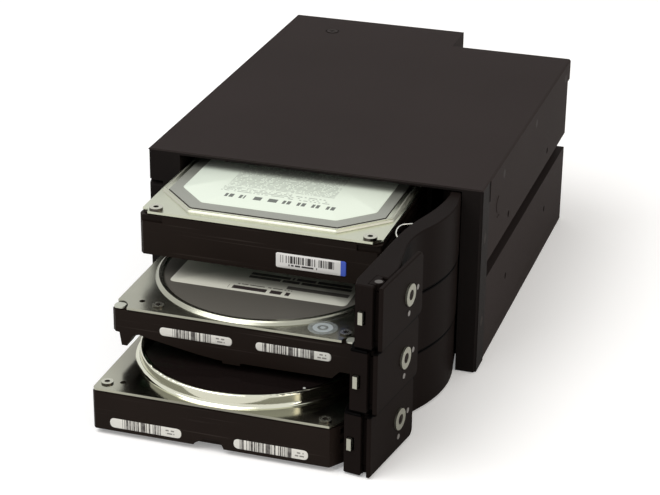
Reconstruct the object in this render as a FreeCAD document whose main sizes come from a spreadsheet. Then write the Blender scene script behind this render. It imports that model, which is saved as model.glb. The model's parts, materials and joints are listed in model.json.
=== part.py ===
"""Hot swap drive cage: three 3.5 inch drives behind three hinged doors, in two 5.25 inch bays.

Frame: +X right, +Y to the rear, +Z up. The origin lies on the underside, midway along the case.
Every piece is drawn from the front face of the bezel and moved back by half the case depth.
"""
import FreeCAD, Part
import math
import os
import re

import Sketcher

SIZES = {
    # case
    "cage_width": 146.0,
    "top_room": 0.55,
    "rear_room": 12.0,
    "fan_depth": 23.0,
    "cover_sheet": 0.8,
    "side_sheet": 0.8,
    "base_sheet": 1.0,
    "cover_flange": 9.8,
    "groove_low": 37.7,
    "groove_height": 7.3,
    "groove_depth": 3.8,
    # bezel
    "bezel_depth": 12.5,
    "left_post": 13.7,
    "right_post": 8.3,
    "top_rail": 0.9,
    "bezel_inset": 0.3,
    "bezel_round": 1.0,
    "strike_height": 2.5,
    "strike_width": 6.3,
    "strike_depth": 3.5,
    "strike_rise": 10.4,
    # side fixing holes
    "hole_first": 52.5,
    "hole_spacing": 79.25,
    "hole_low": 21.84,
    "hole_rise": 29.46,
    "side_hole_radius": 1.5,
    "boss_radius": 3.5,
    # bays and drives
    "bay_floor": 1.8,
    "bay_pitch": 26.75,
    "drive_width": 101.6,
    "drive_length": 147.0,
    "drive_centre": -7.3,
    "casting_top": 17.9,
    "casting_middle": 15.8,
    "casting_bottom": 16.8,
    "lid_sheet": 1.0,
    "lid_inset": 0.2,
    "lid_shadow": 0.5,
    "shadow_inset": 1.2,
    "home_setback": 15.0,
    "pull_top": 60.6,
    "pull_middle": 90.6,
    "pull_bottom": 112.0,
    "guide_gap": 0.5,
    "guide_plate": 2.0,
    "guide_front": 21.0,
    "ledge_reach": 2.6,
    "ledge_gap": 0.25,
    "ledge_sheet": 1.3,
    "board_sheet": 1.6,
    "board_setback": 8.8,
    # doors
    "hinge_across": 55.5,
    "hinge_back": 17.5,
    "hinge_pin_radius": 1.5,
    "running_gap": 0.05,
    "barrel_radius": 4.3,
    "door_floor": 0.3,
    "door_seam": 0.35,
    "door_length": 113.6,
    "open_top": 83.0,
    "open_middle": 82.2,
    "open_bottom": 81.2,
    "neck_inset": 1.4,
    "neck_length": 16.0,
    "outer_crown": 38.0,
    "outer_crown_rise": 14.1,
    "outer_crown_radius": 60.0,
    "outer_valley": 66.5,
    "outer_valley_rise": 10.0,
    "inner_crown": 28.0,
    "inner_crown_rise": 6.75,
    "inner_crown_radius": 91.0,
    "inner_valley": 62.5,
    "inner_valley_rise": 3.5,
    "plate_start": 74.5,
    "plate_face": 17.8,
    "plate_sheet": 1.6,
    "handle_gap": 0.3,
    "pin_back": 5.5,
    "handle_pin_radius": 1.5,
    "lug_wall": 0.8,
    "lug_sheet": 3.0,
    "latch_width": 1.8,
    "latch_height": 5.0,
    "latch_slack": 0.8,
    "latch_reach": 1.3,
    "latch_centre": 9.4,
    "lock_place": 87.7,
    "lock_core_radius": 2.0,
    "lock_ring_width": 2.4,
    "lamp_radius": 1.1,
    "door_bevel": 0.45,
    # fan
    "fan_nominal": 80.0,
    "fan_margin": 1.3,
    "fan_gap": 0.6,
    "fan_wall": 2.0,
    "fan_hole_inset": 4.25,
    "fan_thick": 20.0,
    "fan_hub_radius": 16.0,
    "blade_gap": 0.8,
    "blade_sheet": 1.3,
    "guard_pitch": 9.5,
    "guard_slot": 7.0,
    "guard_web": 1.5,
}
# Sizes that follow from the ones above, as formulas of the sheet.
WORKED_OUT = {
    "case_depth": "home_setback + drive_length + rear_room",
    "cage_height": "bay_floor + 3 * bay_pitch + top_room",
    "door_height": "bay_pitch - door_seam",
    "fan_size": "min(fan_nominal; cage_height - 2 * fan_margin)",
    "fan_bore_radius": "fan_size / 2 - fan_wall",
    "fan_hole_spacing": "fan_size - 2 * fan_hole_inset",
    "fan_bay_width": "fan_size + 2 * fan_gap + cover_sheet + groove_depth + 2 * side_sheet",
}

BLADES = 7
DOORS = {1: "top", 2: "middle", 3: "bottom"}

# Places that several pieces share, each worked out from the sizes above.
LEFT = "(-cage_width / 2)"
RIGHT = "(cage_width / 2)"
SIDE_LEFT = f"({LEFT} + cover_sheet)"
SIDE_RIGHT = f"({RIGHT} - cover_sheet)"
BEZEL_LEFT = f"({LEFT} + bezel_inset)"
BEZEL_RIGHT = f"({RIGHT} - bezel_inset)"
ROOF = "(cage_height - cover_sheet)"
CASE_REAR = "(case_depth + fan_depth)"
NOTCH = f"({LEFT} + fan_bay_width)"
POST_LEFT = f"({SIDE_LEFT} + left_post)"
POST_RIGHT = f"({SIDE_RIGHT} - right_post)"
DRIVE_LEFT = "(drive_centre - drive_width / 2)"
DRIVE_RIGHT = "(drive_centre + drive_width / 2)"
DRIVE_HOME_REAR = "(home_setback + drive_length)"
BOARD_FRONT = "(case_depth - board_setback)"
BOARD_REAR = f"({BOARD_FRONT} + board_sheet)"
GUIDE_LEFT = f"({DRIVE_LEFT} - guide_gap)"
GUIDE_RIGHT = f"({DRIVE_RIGHT} + guide_gap)"
SOCKET_ACROSS = "(drive_centre + 20.7)"
FLOOR_FRONT = "(hinge_back - inner_valley_rise + 0.4)"
GROOVE_WALL = "(groove_depth + side_sheet)"
FAN_ACROSS = f"(({SIDE_LEFT} + {GROOVE_WALL} + {NOTCH} - side_sheet) / 2)"
FAN_HIGH = "(cage_height / 2)"
GUARD_FRONT = f"({CASE_REAR} - 2 * side_sheet)"
FAN_FRONT = f"({GUARD_FRONT} - fan_thick)"

doc = FreeCAD.newDocument("drive_cage")
sheet = doc.addObject("Spreadsheet::Sheet", "Dims")
cells = {alias: str(size) for alias, size in SIZES.items()}
cells |= {alias: f"={formula}" for alias, formula in WORKED_OUT.items()}
for line, (alias, cell) in enumerate(cells.items(), start=1):
    sheet.set(f"A{line}", alias)
    sheet.set(f"B{line}", cell)
    sheet.setAlias(f"B{line}", alias)
doc.recompute()

nodes = []


def bound(formula):
    """The formula with each driving dimension named as its cell of the sheet."""
    return re.sub(r"[a-z]\w+", lambda m: "Dims." + m[0] if m[0] in cells else m[0], str(formula))


def value(formula):
    """What the formula comes to now, for a sketch's first positions and for radii."""
    return float(sheet.evalExpression(bound(formula)))


def bind(thing, path, formula):
    """Tie one property of a thing to the sheet."""
    thing.setExpression(path, bound(formula))


def place(thing, across="0", back="0", high="0", turn=None):
    """Seat a finished piece in the frame; turn is an angle in degrees about -Z."""
    if turn is not None:
        spin = FreeCAD.Rotation(FreeCAD.Vector(0, 0, -1), value(turn))
        thing.Placement = FreeCAD.Placement(FreeCAD.Vector(), spin)
        bind(thing, "Placement.Rotation.Angle", turn)
    bind(thing, "Placement.Base.x", across)
    bind(thing, "Placement.Base.y", f"{back} - case_depth / 2")
    bind(thing, "Placement.Base.z", high)


def keep(thing, label, **seat):
    """Name a finished piece, seat it and list it for export."""
    thing.Label = label
    place(thing, **seat)
    nodes.append(thing)
    return thing


# --- sketches -------------------------------------------------------------------------------


def tie_point(sketch, part, point, across, up):
    """Hold one point of a sketch at two formulas."""
    for kind, formula in (("DistanceX", across), ("DistanceY", up)):
        rule = Sketcher.Constraint(kind, -1, 1, part, point, value(formula))
        number = sketch.addConstraint(rule)
        bind(sketch, f"Constraints[{number}]", formula)


def arc_between(start, end, radius):
    """The arc from start to end; a positive radius turns left on the way, a negative one right."""
    chord = end - start
    middle = (start + end) * 0.5
    side = FreeCAD.Vector(-chord.y, chord.x, 0).normalize()
    reach = math.sqrt(max(radius ** 2 - (chord.Length / 2) ** 2, 0.0))
    centre = middle + side * math.copysign(reach, radius)
    first, last = (start, end) if radius > 0 else (end, start)
    angles = [math.atan2(p.y - centre.y, p.x - centre.x) for p in (first, last)]
    if angles[1] <= angles[0]:
        angles[1] += 2 * math.pi
    circle = Part.Circle(centre, FreeCAD.Vector(0, 0, 1), abs(radius))
    return Part.ArcOfCircle(circle, angles[0], angles[1])


def outline(sketch, corners):
    """A closed outline. A corner is (across, up) or (across, up, radius of the arc that leaves it)."""
    points = [FreeCAD.Vector(value(c[0]), value(c[1]), 0) for c in corners]
    ends = []
    for k, corner in enumerate(corners):
        start, end = points[k], points[(k + 1) % len(points)]
        if len(corner) == 2:
            part = sketch.addGeometry(Part.LineSegment(start, end), False)
            ends.append((part, 1, 2))
            continue
        radius = value(corner[2])
        part = sketch.addGeometry(arc_between(start, end, radius), False)
        ends.append((part, 1, 2) if radius > 0 else (part, 2, 1))
        number = sketch.addConstraint(Sketcher.Constraint("Radius", part, abs(radius)))
        bind(sketch, f"Constraints[{number}]", f"abs({corner[2]})")
    for k, (part, first, last) in enumerate(ends):
        after = ends[(k + 1) % len(ends)]
        sketch.addConstraint(Sketcher.Constraint("Coincident", part, last, after[0], after[1]))
        tie_point(sketch, part, first, corners[k][0], corners[k][1])


def rectangle(sketch, low, high):
    """A rectangle between two opposite corners."""
    outline(sketch, [low, (high[0], low[1]), high, (low[0], high[1])])


def circle(sketch, across, up, radius):
    """A full circle."""
    centre = FreeCAD.Vector(value(across), value(up), 0)
    part = sketch.addGeometry(Part.Circle(centre, FreeCAD.Vector(0, 0, 1), value(radius)), False)
    tie_point(sketch, part, 3, across, up)
    number = sketch.addConstraint(Sketcher.Constraint("Radius", part, value(radius)))
    bind(sketch, f"Constraints[{number}]", radius)


def rounded(low, high, radius):
    """Corners of a rectangle whose four corners are quarter arcs."""
    (x0, y0), (x1, y1) = low, high
    return [(f"{x0} + {radius}", y0), (f"{x1} - {radius}", y0, radius),
            (x1, f"{y0} + {radius}"), (x1, f"{y1} - {radius}", radius),
            (f"{x1} - {radius}", y1), (f"{x0} + {radius}", y1, radius),
            (x0, f"{y1} - {radius}"), (x0, f"{y0} + {radius}", radius)]


# --- bodies and their features ----------------------------------------------------------------


def body(label):
    """An empty PartDesign body."""
    return doc.addObject("PartDesign::Body", label)


def sketch_on(piece, role, level="0", shift="0"):
    """A sketch on one of the body's own origin planes, at a level along that plane's axis."""
    plane = next(f for f in piece.Origin.OriginFeatures if f.Role == role)
    sketch = piece.newObject("Sketcher::SketchObject", f"{piece.Name}_sketch")
    sketch.AttachmentSupport = [(plane, "")]
    sketch.MapMode = "FlatFace"
    sign = "-1" if role == "XZ_Plane" else "1"
    bind(sketch, "AttachmentOffset.Base.z", f"{sign} * ({level})")
    bind(sketch, "AttachmentOffset.Base.x", shift)
    return sketch


def pad(piece, role, low, high, draw):
    """Add material between two levels along the plane's axis."""
    sketch = sketch_on(piece, role, low)
    draw(sketch)
    feature = piece.newObject("PartDesign::Pad", f"{piece.Name}_pad")
    feature.Profile = sketch
    feature.Reversed = role == "XZ_Plane"
    bind(feature, "Length", f"({high}) - ({low})")
    return feature


def pocket(piece, role, low, high, draw):
    """Remove material between two levels along the plane's axis."""
    sketch = sketch_on(piece, role, low)
    draw(sketch)
    feature = piece.newObject("PartDesign::Pocket", f"{piece.Name}_pocket")
    feature.Profile = sketch
    feature.Reversed = role != "XZ_Plane"
    bind(feature, "Length", f"({high}) - ({low})")
    return feature


def bevel(piece, base, direction, size):
    """Chamfer every edge of the base's faces that look in one direction."""
    doc.recompute()
    towards = FreeCAD.Vector(*direction)
    faces = [f"Face{number}" for number, face in enumerate(base.Shape.Faces, start=1)
             if face.normalAt(0, 0).dot(towards) > 0.999]
    feature = piece.newObject("PartDesign::Chamfer", f"{piece.Name}_bevel")
    feature.Base = (base, faces)
    bind(feature, "Size", size)
    return feature


def revolve(piece, kind, back, corners):
    """Turn an outline of (radius, height) about the upright line at x = 0, y = back."""
    sketch = sketch_on(piece, "YZ_Plane", shift=back)
    outline(sketch, corners)
    feature = piece.newObject(f"PartDesign::{kind}", f"{piece.Name}_turn")
    feature.Profile = sketch
    feature.ReferenceAxis = (sketch, ["V_Axis"])
    feature.Angle = 360
    return feature


# --- primitives and booleans --------------------------------------------------------------------


def block(low, high):
    """A box between two opposite corners, each a triple of formulas."""
    box = doc.addObject("Part::Box", "block")
    for axis, size, start, end in zip("xyz", ("Length", "Width", "Height"), low, high):
        bind(box, size, f"({end}) - ({start})")
        bind(box, f"Placement.Base.{axis}", start)
    return box


def rod(axis, centre, radius, start, end):
    """A cylinder along axis from start to end; centre gives its other two coordinates in order."""
    turns = {"x": FreeCAD.Rotation(FreeCAD.Vector(0, 1, 0), 90),
             "y": FreeCAD.Rotation(FreeCAD.Vector(1, 0, 0), -90),
             "z": FreeCAD.Rotation()}
    cylinder = doc.addObject("Part::Cylinder", "rod")
    cylinder.Placement = FreeCAD.Placement(FreeCAD.Vector(), turns[axis])
    bind(cylinder, "Radius", radius)
    bind(cylinder, "Height", f"({end}) - ({start})")
    others = iter(centre)
    for letter in "xyz":
        bind(cylinder, f"Placement.Base.{letter}", start if letter == axis else next(others))
    return cylinder


def fuse(pieces):
    """One solid from several that touch."""
    joined = doc.addObject("Part::MultiFuse", "fuse")
    joined.Shapes = pieces
    return joined


def cut(base, tools):
    """The base less every tool."""
    for tool in tools:
        result = doc.addObject("Part::Cut", "cut")
        result.Base = base
        result.Tool = tool
        base = result
    return base


def group(pieces):
    """Separate solids kept in one node."""
    compound = doc.addObject("Part::Compound", "group")
    compound.Links = pieces
    return compound


# --- case ---------------------------------------------------------------------------------------


def bay_height(level):
    """Underside of the drive in a bay; level 1 is the top bay."""
    return f"(bay_floor + {3 - level} * bay_pitch)"


def door_height_at(level):
    """Underside of a door; level 1 is the top door."""
    return f"(door_floor + {3 - level} * bay_pitch)"


# The cover's screws: three in each flange and one in a dimple of the lid.
FLANGE_SCREWS = ("37", "100", "164")
FLANGE_SCREW_HIGH = "(cage_height - 6.6)"
FLANGE_SHANK = "1.25"
FLANGE_HEAD = "1.9"
TOP_SCREW = (f"({LEFT} + 25.4)", "(case_depth + 2.8)")
DIMPLE_DEPTH = "(cover_sheet / 2)"
DIMPLE_RADIUS = "3.4"


def side_profile(outer, inward):
    """Section of a side sheet with its long groove; inward is +1 on the left and -1 on the right."""
    def across(depth):
        return f"{outer} + {inward} * ({depth})"
    low, high = "groove_low", "(groove_low + groove_height)"
    return [(across("0"), "0"), (across("side_sheet"), "0"),
            (across("side_sheet"), f"{low} - side_sheet"),
            (across("groove_depth + side_sheet"), f"{low} - side_sheet"),
            (across("groove_depth + side_sheet"), f"{high} + side_sheet"),
            (across("side_sheet"), f"{high} + side_sheet"),
            (across("side_sheet"), ROOF), (across("0"), ROOF),
            (across("0"), high), (across("groove_depth"), high),
            (across("groove_depth"), low), (across("0"), low)]


def hole_places():
    """The side fixing holes as (back, high)."""
    return [(f"hole_first + {i} * hole_spacing", f"hole_low + {j} * hole_rise")
            for i in (0, 1) for j in (0, 1)]


def side_wall(label, outer, inward, rear):
    """A folded side sheet with its fixing holes and the holes for the cover's screws."""
    piece = body(label)
    corners = side_profile(outer, inward)
    pad(piece, "XZ_Plane", "bezel_depth", rear, lambda s: outline(s, corners))
    near, far = (outer, f"{outer} + side_sheet") if inward > 0 else (f"{outer} - side_sheet", outer)

    def holes(sketch):
        for back, high in hole_places():
            circle(sketch, back, high, "side_hole_radius")
        for back in FLANGE_SCREWS:
            circle(sketch, back, FLANGE_SCREW_HIGH, FLANGE_SHANK)
    pocket(piece, "YZ_Plane", near, far, holes)
    return keep(piece, label)


def bottom_plate():
    """Floor sheet, stepped round the fan bay, with the foot hole of the hinge pin."""
    piece = body("bottom_plate")
    left, right = f"{SIDE_LEFT} + side_sheet", f"{SIDE_RIGHT} - side_sheet"
    corners = [(left, FLOOR_FRONT), (right, FLOOR_FRONT), (right, "case_depth"),
               (NOTCH, "case_depth"), (NOTCH, CASE_REAR), (left, CASE_REAR)]
    pad(piece, "XY_Plane", "0", "base_sheet", lambda s: outline(s, corners))
    pocket(piece, "XY_Plane", "0", "base_sheet",
           lambda s: circle(s, "hinge_across", "hinge_back", "hinge_pin_radius"))

    def vents(sketch):
        for k in range(4):
            start = f"{FLOOR_FRONT} + 26 + {k} * 30"
            outline(sketch, rounded(("drive_centre - 32", start),
                                    ("drive_centre + 32", f"{start} + 12"), "3"))
    pocket(piece, "XY_Plane", "0", "base_sheet", vents)
    return keep(piece, "bottom_plate")


def top_cover():
    """Lid with folded flanges, stepped round the fan bay; its flat sheet runs on over the bezel."""
    piece = body("top_cover")
    foot = "(cage_height - cover_flange)"
    corners = [(LEFT, foot), (SIDE_LEFT, foot), (SIDE_LEFT, ROOF), (SIDE_RIGHT, ROOF),
               (SIDE_RIGHT, foot), (RIGHT, foot),
               (RIGHT, "cage_height - cover_sheet"), (f"{RIGHT} - cover_sheet", "cage_height"),
               (f"{LEFT} + cover_sheet", "cage_height"), (LEFT, "cage_height - cover_sheet")]
    pad(piece, "XZ_Plane", "bezel_depth", CASE_REAR, lambda s: outline(s, corners))
    nose = [(BEZEL_LEFT, ROOF), (BEZEL_RIGHT, ROOF), (BEZEL_RIGHT, f"{ROOF} + bezel_inset"),
            (f"{RIGHT} - cover_sheet", "cage_height"), (f"{LEFT} + cover_sheet", "cage_height"),
            (BEZEL_LEFT, f"{ROOF} + bezel_inset")]
    pad(piece, "XZ_Plane", "0", "bezel_depth", lambda s: outline(s, nose))
    pocket(piece, "XY_Plane", foot, "cage_height",
           lambda s: rectangle(s, (NOTCH, "case_depth"), (RIGHT, CASE_REAR)))

    def screw_holes(sketch):
        for back in FLANGE_SCREWS:
            circle(sketch, back, FLANGE_SCREW_HIGH, FLANGE_HEAD)
    pocket(piece, "YZ_Plane", LEFT, SIDE_LEFT, screw_holes)
    pocket(piece, "YZ_Plane", SIDE_RIGHT, RIGHT, screw_holes)
    pocket(piece, "XY_Plane", f"cage_height - {DIMPLE_DEPTH}", "cage_height",
           lambda s: circle(s, *TOP_SCREW, DIMPLE_RADIUS))
    pocket(piece, "XY_Plane", ROOF, "cage_height", lambda s: circle(s, *TOP_SCREW, "1.5"))
    return keep(piece, "top_cover")


def cover_screws():
    """Flush screws in both flanges and one pan head in the dimple of the lid."""
    screws = []
    for outer, inner, tip in ((LEFT, SIDE_LEFT, f"{SIDE_LEFT} + 3"),
                              (RIGHT, SIDE_RIGHT, f"{SIDE_RIGHT} - 3")):
        for back in FLANGE_SCREWS:
            centre = (back, FLANGE_SCREW_HIGH)
            ends = (outer, inner) if outer == LEFT else (inner, outer)
            shank = (inner, tip) if outer == LEFT else (tip, inner)
            screws.append(fuse([rod("x", centre, f"{FLANGE_HEAD} - 0.05", *ends),
                                rod("x", centre, FLANGE_SHANK, *shank)]))
    dimple = f"cage_height - {DIMPLE_DEPTH}"
    head = rod("z", TOP_SCREW, "2.7", dimple, f"{dimple} + 0.6")
    cross = [block((f"{TOP_SCREW[0]} - {a}", f"{TOP_SCREW[1]} - {b}", f"{dimple} + 0.3"),
                   (f"{TOP_SCREW[0]} + {a}", f"{TOP_SCREW[1]} + {b}", f"{dimple} + 0.9"))
             for a, b in (("1.5", "0.3"), ("0.3", "1.5"))]
    shank = rod("z", TOP_SCREW, "1.4", f"{ROOF} - 0.3", dimple)
    screws.append(fuse([cut(head, cross), shank]))
    return keep(group(screws), "cover_screws")


# --- bezel --------------------------------------------------------------------------------------

BEZEL_SCREWS = ("58.8", "21.1")
BEZEL_SCREW_BACK = "(bezel_depth - 5.5)"
BEZEL_SCREW_RADIUS = "2.2"


def front_bezel():
    """Two posts joined by a thin rail, with strike steps and keepers for the three latches."""
    piece = body("front_bezel")
    inner_top = f"({ROOF} - top_rail)"
    corners = [(BEZEL_LEFT, "0"), (POST_LEFT, "0"), (POST_LEFT, inner_top), (POST_RIGHT, inner_top),
               (POST_RIGHT, "0"), (BEZEL_RIGHT, "0"), (BEZEL_RIGHT, ROOF), (BEZEL_LEFT, ROOF)]
    pad(piece, "XZ_Plane", "0", "bezel_depth", lambda s: outline(s, corners))

    for edge, inward in ((BEZEL_LEFT, "1"), (BEZEL_RIGHT, "-1")):
        def corner(sketch):
            outline(sketch, [(edge, "-1"), (f"{edge} + {inward} * bezel_round", "-1"),
                             (f"{edge} + {inward} * bezel_round", "0", f"{inward} * bezel_round"),
                             (edge, "bezel_round")])
        pocket(piece, "XY_Plane", "0", ROOF, corner)

    def strikes(sketch):
        for level in DOORS:
            low = f"{bay_height(level)} + strike_rise"
            outline(sketch, [("-0.1", low), ("0", low), ("strike_depth", f"{low} + strike_height"),
                             ("-0.1", f"{low} + strike_height")])
    pocket(piece, "YZ_Plane", f"{BEZEL_LEFT} - 0.1", f"{BEZEL_LEFT} + strike_width", strikes)

    def keepers(sketch):
        for level in DOORS:
            middle = f"{door_height_at(level)} + door_height / 2"
            back = "hinge_back - latch_centre"
            rectangle(sketch, (f"{back} - latch_width / 2 - 0.5", f"{middle} - latch_height / 2 - 0.5"),
                      (f"{back} + latch_width / 2 + 0.5", f"{middle} + latch_height / 2 + 0.5"))
    pocket(piece, "YZ_Plane", f"{POST_LEFT} - 3", POST_LEFT, keepers)

    def screw_seats(sketch):
        for high in BEZEL_SCREWS:
            circle(sketch, BEZEL_SCREW_BACK, high, f"{BEZEL_SCREW_RADIUS} + 0.1")
    pocket(piece, "YZ_Plane", BEZEL_LEFT, f"{BEZEL_LEFT} + 1", screw_seats)
    pocket(piece, "YZ_Plane", f"{BEZEL_RIGHT} - 1", BEZEL_RIGHT, screw_seats)
    return keep(piece, "front_bezel")


def bezel_screws():
    """Four flush screws, two in the side of each post."""
    screws = []
    for start, end in ((BEZEL_LEFT, f"{BEZEL_LEFT} + 1"), (f"{BEZEL_RIGHT} - 1", BEZEL_RIGHT)):
        for high in BEZEL_SCREWS:
            screws.append(rod("x", (BEZEL_SCREW_BACK, high), BEZEL_SCREW_RADIUS, start, end))
    return keep(group(screws), "bezel_screws")


# --- inner structure ----------------------------------------------------------------------------


def guide(label, face, outward, side_inner):
    """Comb shaped guide: an upright plate with a ledge under each drive and bosses to the side."""
    piece = body(label)

    def across(depth):
        return f"{face} + {outward} * ({depth})"
    corners = [(across("guide_plate"), "base_sheet"), (across("-ledge_reach"), "base_sheet")]
    for level in (3, 2, 1):
        top = f"{bay_height(level)} - ledge_gap"
        if level < 3:
            corners += [(across("0"), f"{top} - ledge_sheet"),
                        (across("-ledge_reach"), f"{top} - ledge_sheet")]
        corners += [(across("-ledge_reach"), top), (across("0"), top)]
    corners += [(across("0"), ROOF), (across("guide_plate"), ROOF)]
    pad(piece, "XZ_Plane", "guide_front", BOARD_FRONT, lambda s: outline(s, corners))
    ends = sorted((across("guide_plate"), side_inner), key=value)

    def bosses(sketch):
        for back, high in hole_places():
            circle(sketch, back, high, "boss_radius")
    pad(piece, "YZ_Plane", *ends, bosses)
    mouth = sorted((f"{side_inner} - {outward} * 6", side_inner), key=value)

    def bores(sketch):
        for back, high in hole_places():
            circle(sketch, back, high, "side_hole_radius")
    pocket(piece, "YZ_Plane", *mouth, bores)
    return keep(piece, label)


def tab_height(level):
    """Underside of a hinge tab; it lies centred in the gap above the door of that level."""
    return f"({door_height_at(level)} + (door_height + bay_pitch) / 2 - (neck_inset - 0.3))"


def hinge_bracket():
    """Upright strip behind the right post with three tabs that carry the hinge pin."""
    piece = body("hinge_bracket")
    near = "(hinge_across + 6.7)"
    pad(piece, "XY_Plane", "base_sheet", ROOF,
        lambda s: rectangle(s, (near, "bezel_depth"), (f"{POST_RIGHT} + 1.2", "hinge_back + 14")))
    for level in DOORS:
        def tab(sketch):
            outline(sketch, [(f"{near} + 0.1", "hinge_back + 5"),
                             ("hinge_across", "hinge_back + 5", "5"),
                             ("hinge_across - 5", "hinge_back", "5"),
                             ("hinge_across", "hinge_back - 5"),
                             (f"{near} + 0.1", "hinge_back - 5")])
        low = tab_height(level)
        pad(piece, "XY_Plane", low, f"{low} + 2 * (neck_inset - 0.3)", tab)
    pocket(piece, "XY_Plane", "base_sheet", ROOF,
           lambda s: circle(s, "hinge_across", "hinge_back", "hinge_pin_radius"))
    return keep(piece, "hinge_bracket")


def backplane():
    """Circuit board across the rear of the bays, with an air slot behind each drive."""
    piece = body("backplane")
    pad(piece, "XZ_Plane", BOARD_FRONT, BOARD_REAR,
        lambda s: rectangle(s, (f"{SIDE_LEFT} + {GROOVE_WALL} + 1", "base_sheet"),
                            (f"{SIDE_RIGHT} - {GROOVE_WALL} - 1", f"{ROOF} - 0.6")))

    def slots(sketch):
        for level in DOORS:
            low = f"{bay_height(level)} + 5"
            outline(sketch, rounded((f"{DRIVE_LEFT} + 8", low),
                                    ("drive_centre - 6", f"{low} + 14"), "2"))
    pocket(piece, "XZ_Plane", BOARD_FRONT, BOARD_REAR, slots)
    return keep(piece, "backplane")


def socket(width, depth_from, depth_to, low, high, wall, centre):
    """A plug shell open at its far end, with a contact tongue inside."""
    shell = block((f"{centre} - {width} / 2", depth_from, low), (f"{centre} + {width} / 2", depth_to, high))
    room = block((f"{centre} - {width} / 2 + {wall}", f"{depth_from} + 1.2", f"{low} + {wall}"),
                 (f"{centre} + {width} / 2 - {wall}", f"{depth_to} + 1", f"{high} - {wall}"))
    middle = f"(({low}) + ({high})) / 2"
    tongue = block((f"{centre} - {width} / 2 + {wall} + 1", f"{depth_from} + 1", f"{middle} - 0.6"),
                   (f"{centre} + {width} / 2 - {wall} - 1", f"{depth_to} - 0.8", f"{middle} + 0.6"))
    return fuse([cut(shell, [room]), tongue])


def bay_connectors():
    """One receptacle for each drive, with a slot that takes the drive's contact tongue."""
    pieces = []
    for level in DOORS:
        low = f"{bay_height(level)} + 3"
        shell = block((f"{SOCKET_ACROSS} - 17", f"{DRIVE_HOME_REAR} - 4.4", low),
                      (f"{SOCKET_ACROSS} + 17", BOARD_FRONT, f"{low} + 5.6"))
        room = block((f"{SOCKET_ACROSS} - 15.6", f"{DRIVE_HOME_REAR} - 5", f"{low} + 1.6"),
                     (f"{SOCKET_ACROSS} + 15.6", f"{DRIVE_HOME_REAR} + 0.4", f"{low} + 4"))
        pieces.append(cut(shell, [room]))
    return keep(group(pieces), "bay_connectors")


DATA_ACROSS = f"({NOTCH} + 14)"
POWER_ACROSS = f"({NOTCH} + 40)"
DATA_WIDTH, DATA_HEIGHT = "15", "6"
POWER_WIDTH, POWER_HEIGHT = "22", "9.5"
DATA_LOWS = tuple(f"({bay_height(level)} + 8)" for level in DOORS)
POWER_LOWS = (f"({bay_height(3)} + 18.2)", f"({bay_height(2)} + 23.45)")
SOCKET_REAR = "(case_depth + 1.6)"
SOCKET_GAP = "0.4"


def rear_connectors():
    """Three data sockets and two power sockets on the rear of the board."""
    data = [socket(DATA_WIDTH, BOARD_REAR, SOCKET_REAR, low, f"{low} + {DATA_HEIGHT}", "1.1", DATA_ACROSS)
            for low in DATA_LOWS]
    keep(group(data), "data_connectors")
    power = [socket(POWER_WIDTH, BOARD_REAR, SOCKET_REAR, low, f"{low} + {POWER_HEIGHT}", "1.5",
                    POWER_ACROSS) for low in POWER_LOWS]
    keep(group(power), "power_connectors")


def rear_panel():
    """Rear wall beside the fan bay, cut out round the sockets."""
    piece = body("rear_panel")
    inner = f"{SIDE_RIGHT} - side_sheet"
    front = "(case_depth - side_sheet)"
    pad(piece, "XZ_Plane", front, "case_depth",
        lambda s: rectangle(s, (NOTCH, "base_sheet"), (inner, ROOF)))

    def openings(sketch):
        for centre, width, height, lows in ((DATA_ACROSS, DATA_WIDTH, DATA_HEIGHT, DATA_LOWS),
                                            (POWER_ACROSS, POWER_WIDTH, POWER_HEIGHT, POWER_LOWS)):
            half = f"({width} / 2 + {SOCKET_GAP})"
            for low in lows:
                rectangle(sketch, (f"{centre} - {half}", f"{low} - {SOCKET_GAP}"),
                          (f"{centre} + {half}", f"{low} + {height} + {SOCKET_GAP}"))
    pocket(piece, "XZ_Plane", front, "case_depth", openings)
    pocket(piece, "XZ_Plane", front, "case_depth",
           lambda s: rectangle(s, (f"{SIDE_RIGHT} - {GROOVE_WALL}", "groove_low - side_sheet"),
                               (SIDE_RIGHT, "groove_low + groove_height + side_sheet")))
    return keep(piece, "rear_panel")


# --- fan ----------------------------------------------------------------------------------------


def fan_corners(sketch, radius):
    """The fan's four fixing holes."""
    for i in (-1, 1):
        for j in (-1, 1):
            circle(sketch, f"{FAN_ACROSS} + {i} * fan_hole_spacing / 2",
                   f"{FAN_HIGH} + {j} * fan_hole_spacing / 2", radius)


def fan_housing():
    """Rear wall of the fan bay and its return beside the rear panel, in one folded sheet."""
    piece = body("fan_housing")
    left = f"{SIDE_LEFT} + side_sheet"
    corners = [(left, f"{CASE_REAR} - side_sheet"), (f"{NOTCH} - side_sheet", f"{CASE_REAR} - side_sheet"),
               (f"{NOTCH} - side_sheet", "case_depth - side_sheet"), (NOTCH, "case_depth - side_sheet"),
               (NOTCH, CASE_REAR), (left, CASE_REAR)]
    pad(piece, "XY_Plane", "base_sheet", ROOF, lambda s: outline(s, corners))
    pocket(piece, "XZ_Plane", f"{CASE_REAR} - side_sheet", CASE_REAR,
           lambda s: circle(s, FAN_ACROSS, FAN_HIGH, "fan_bore_radius"))
    pocket(piece, "XZ_Plane", f"{CASE_REAR} - side_sheet", CASE_REAR, lambda s: fan_corners(s, "2.1"))
    pocket(piece, "XZ_Plane", f"{CASE_REAR} - side_sheet", CASE_REAR,
           lambda s: rectangle(s, (SIDE_LEFT, "groove_low - side_sheet"),
                               (f"{SIDE_LEFT} + {GROOVE_WALL}", "groove_low + groove_height + side_sheet")))
    return keep(piece, "fan_housing")


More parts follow.
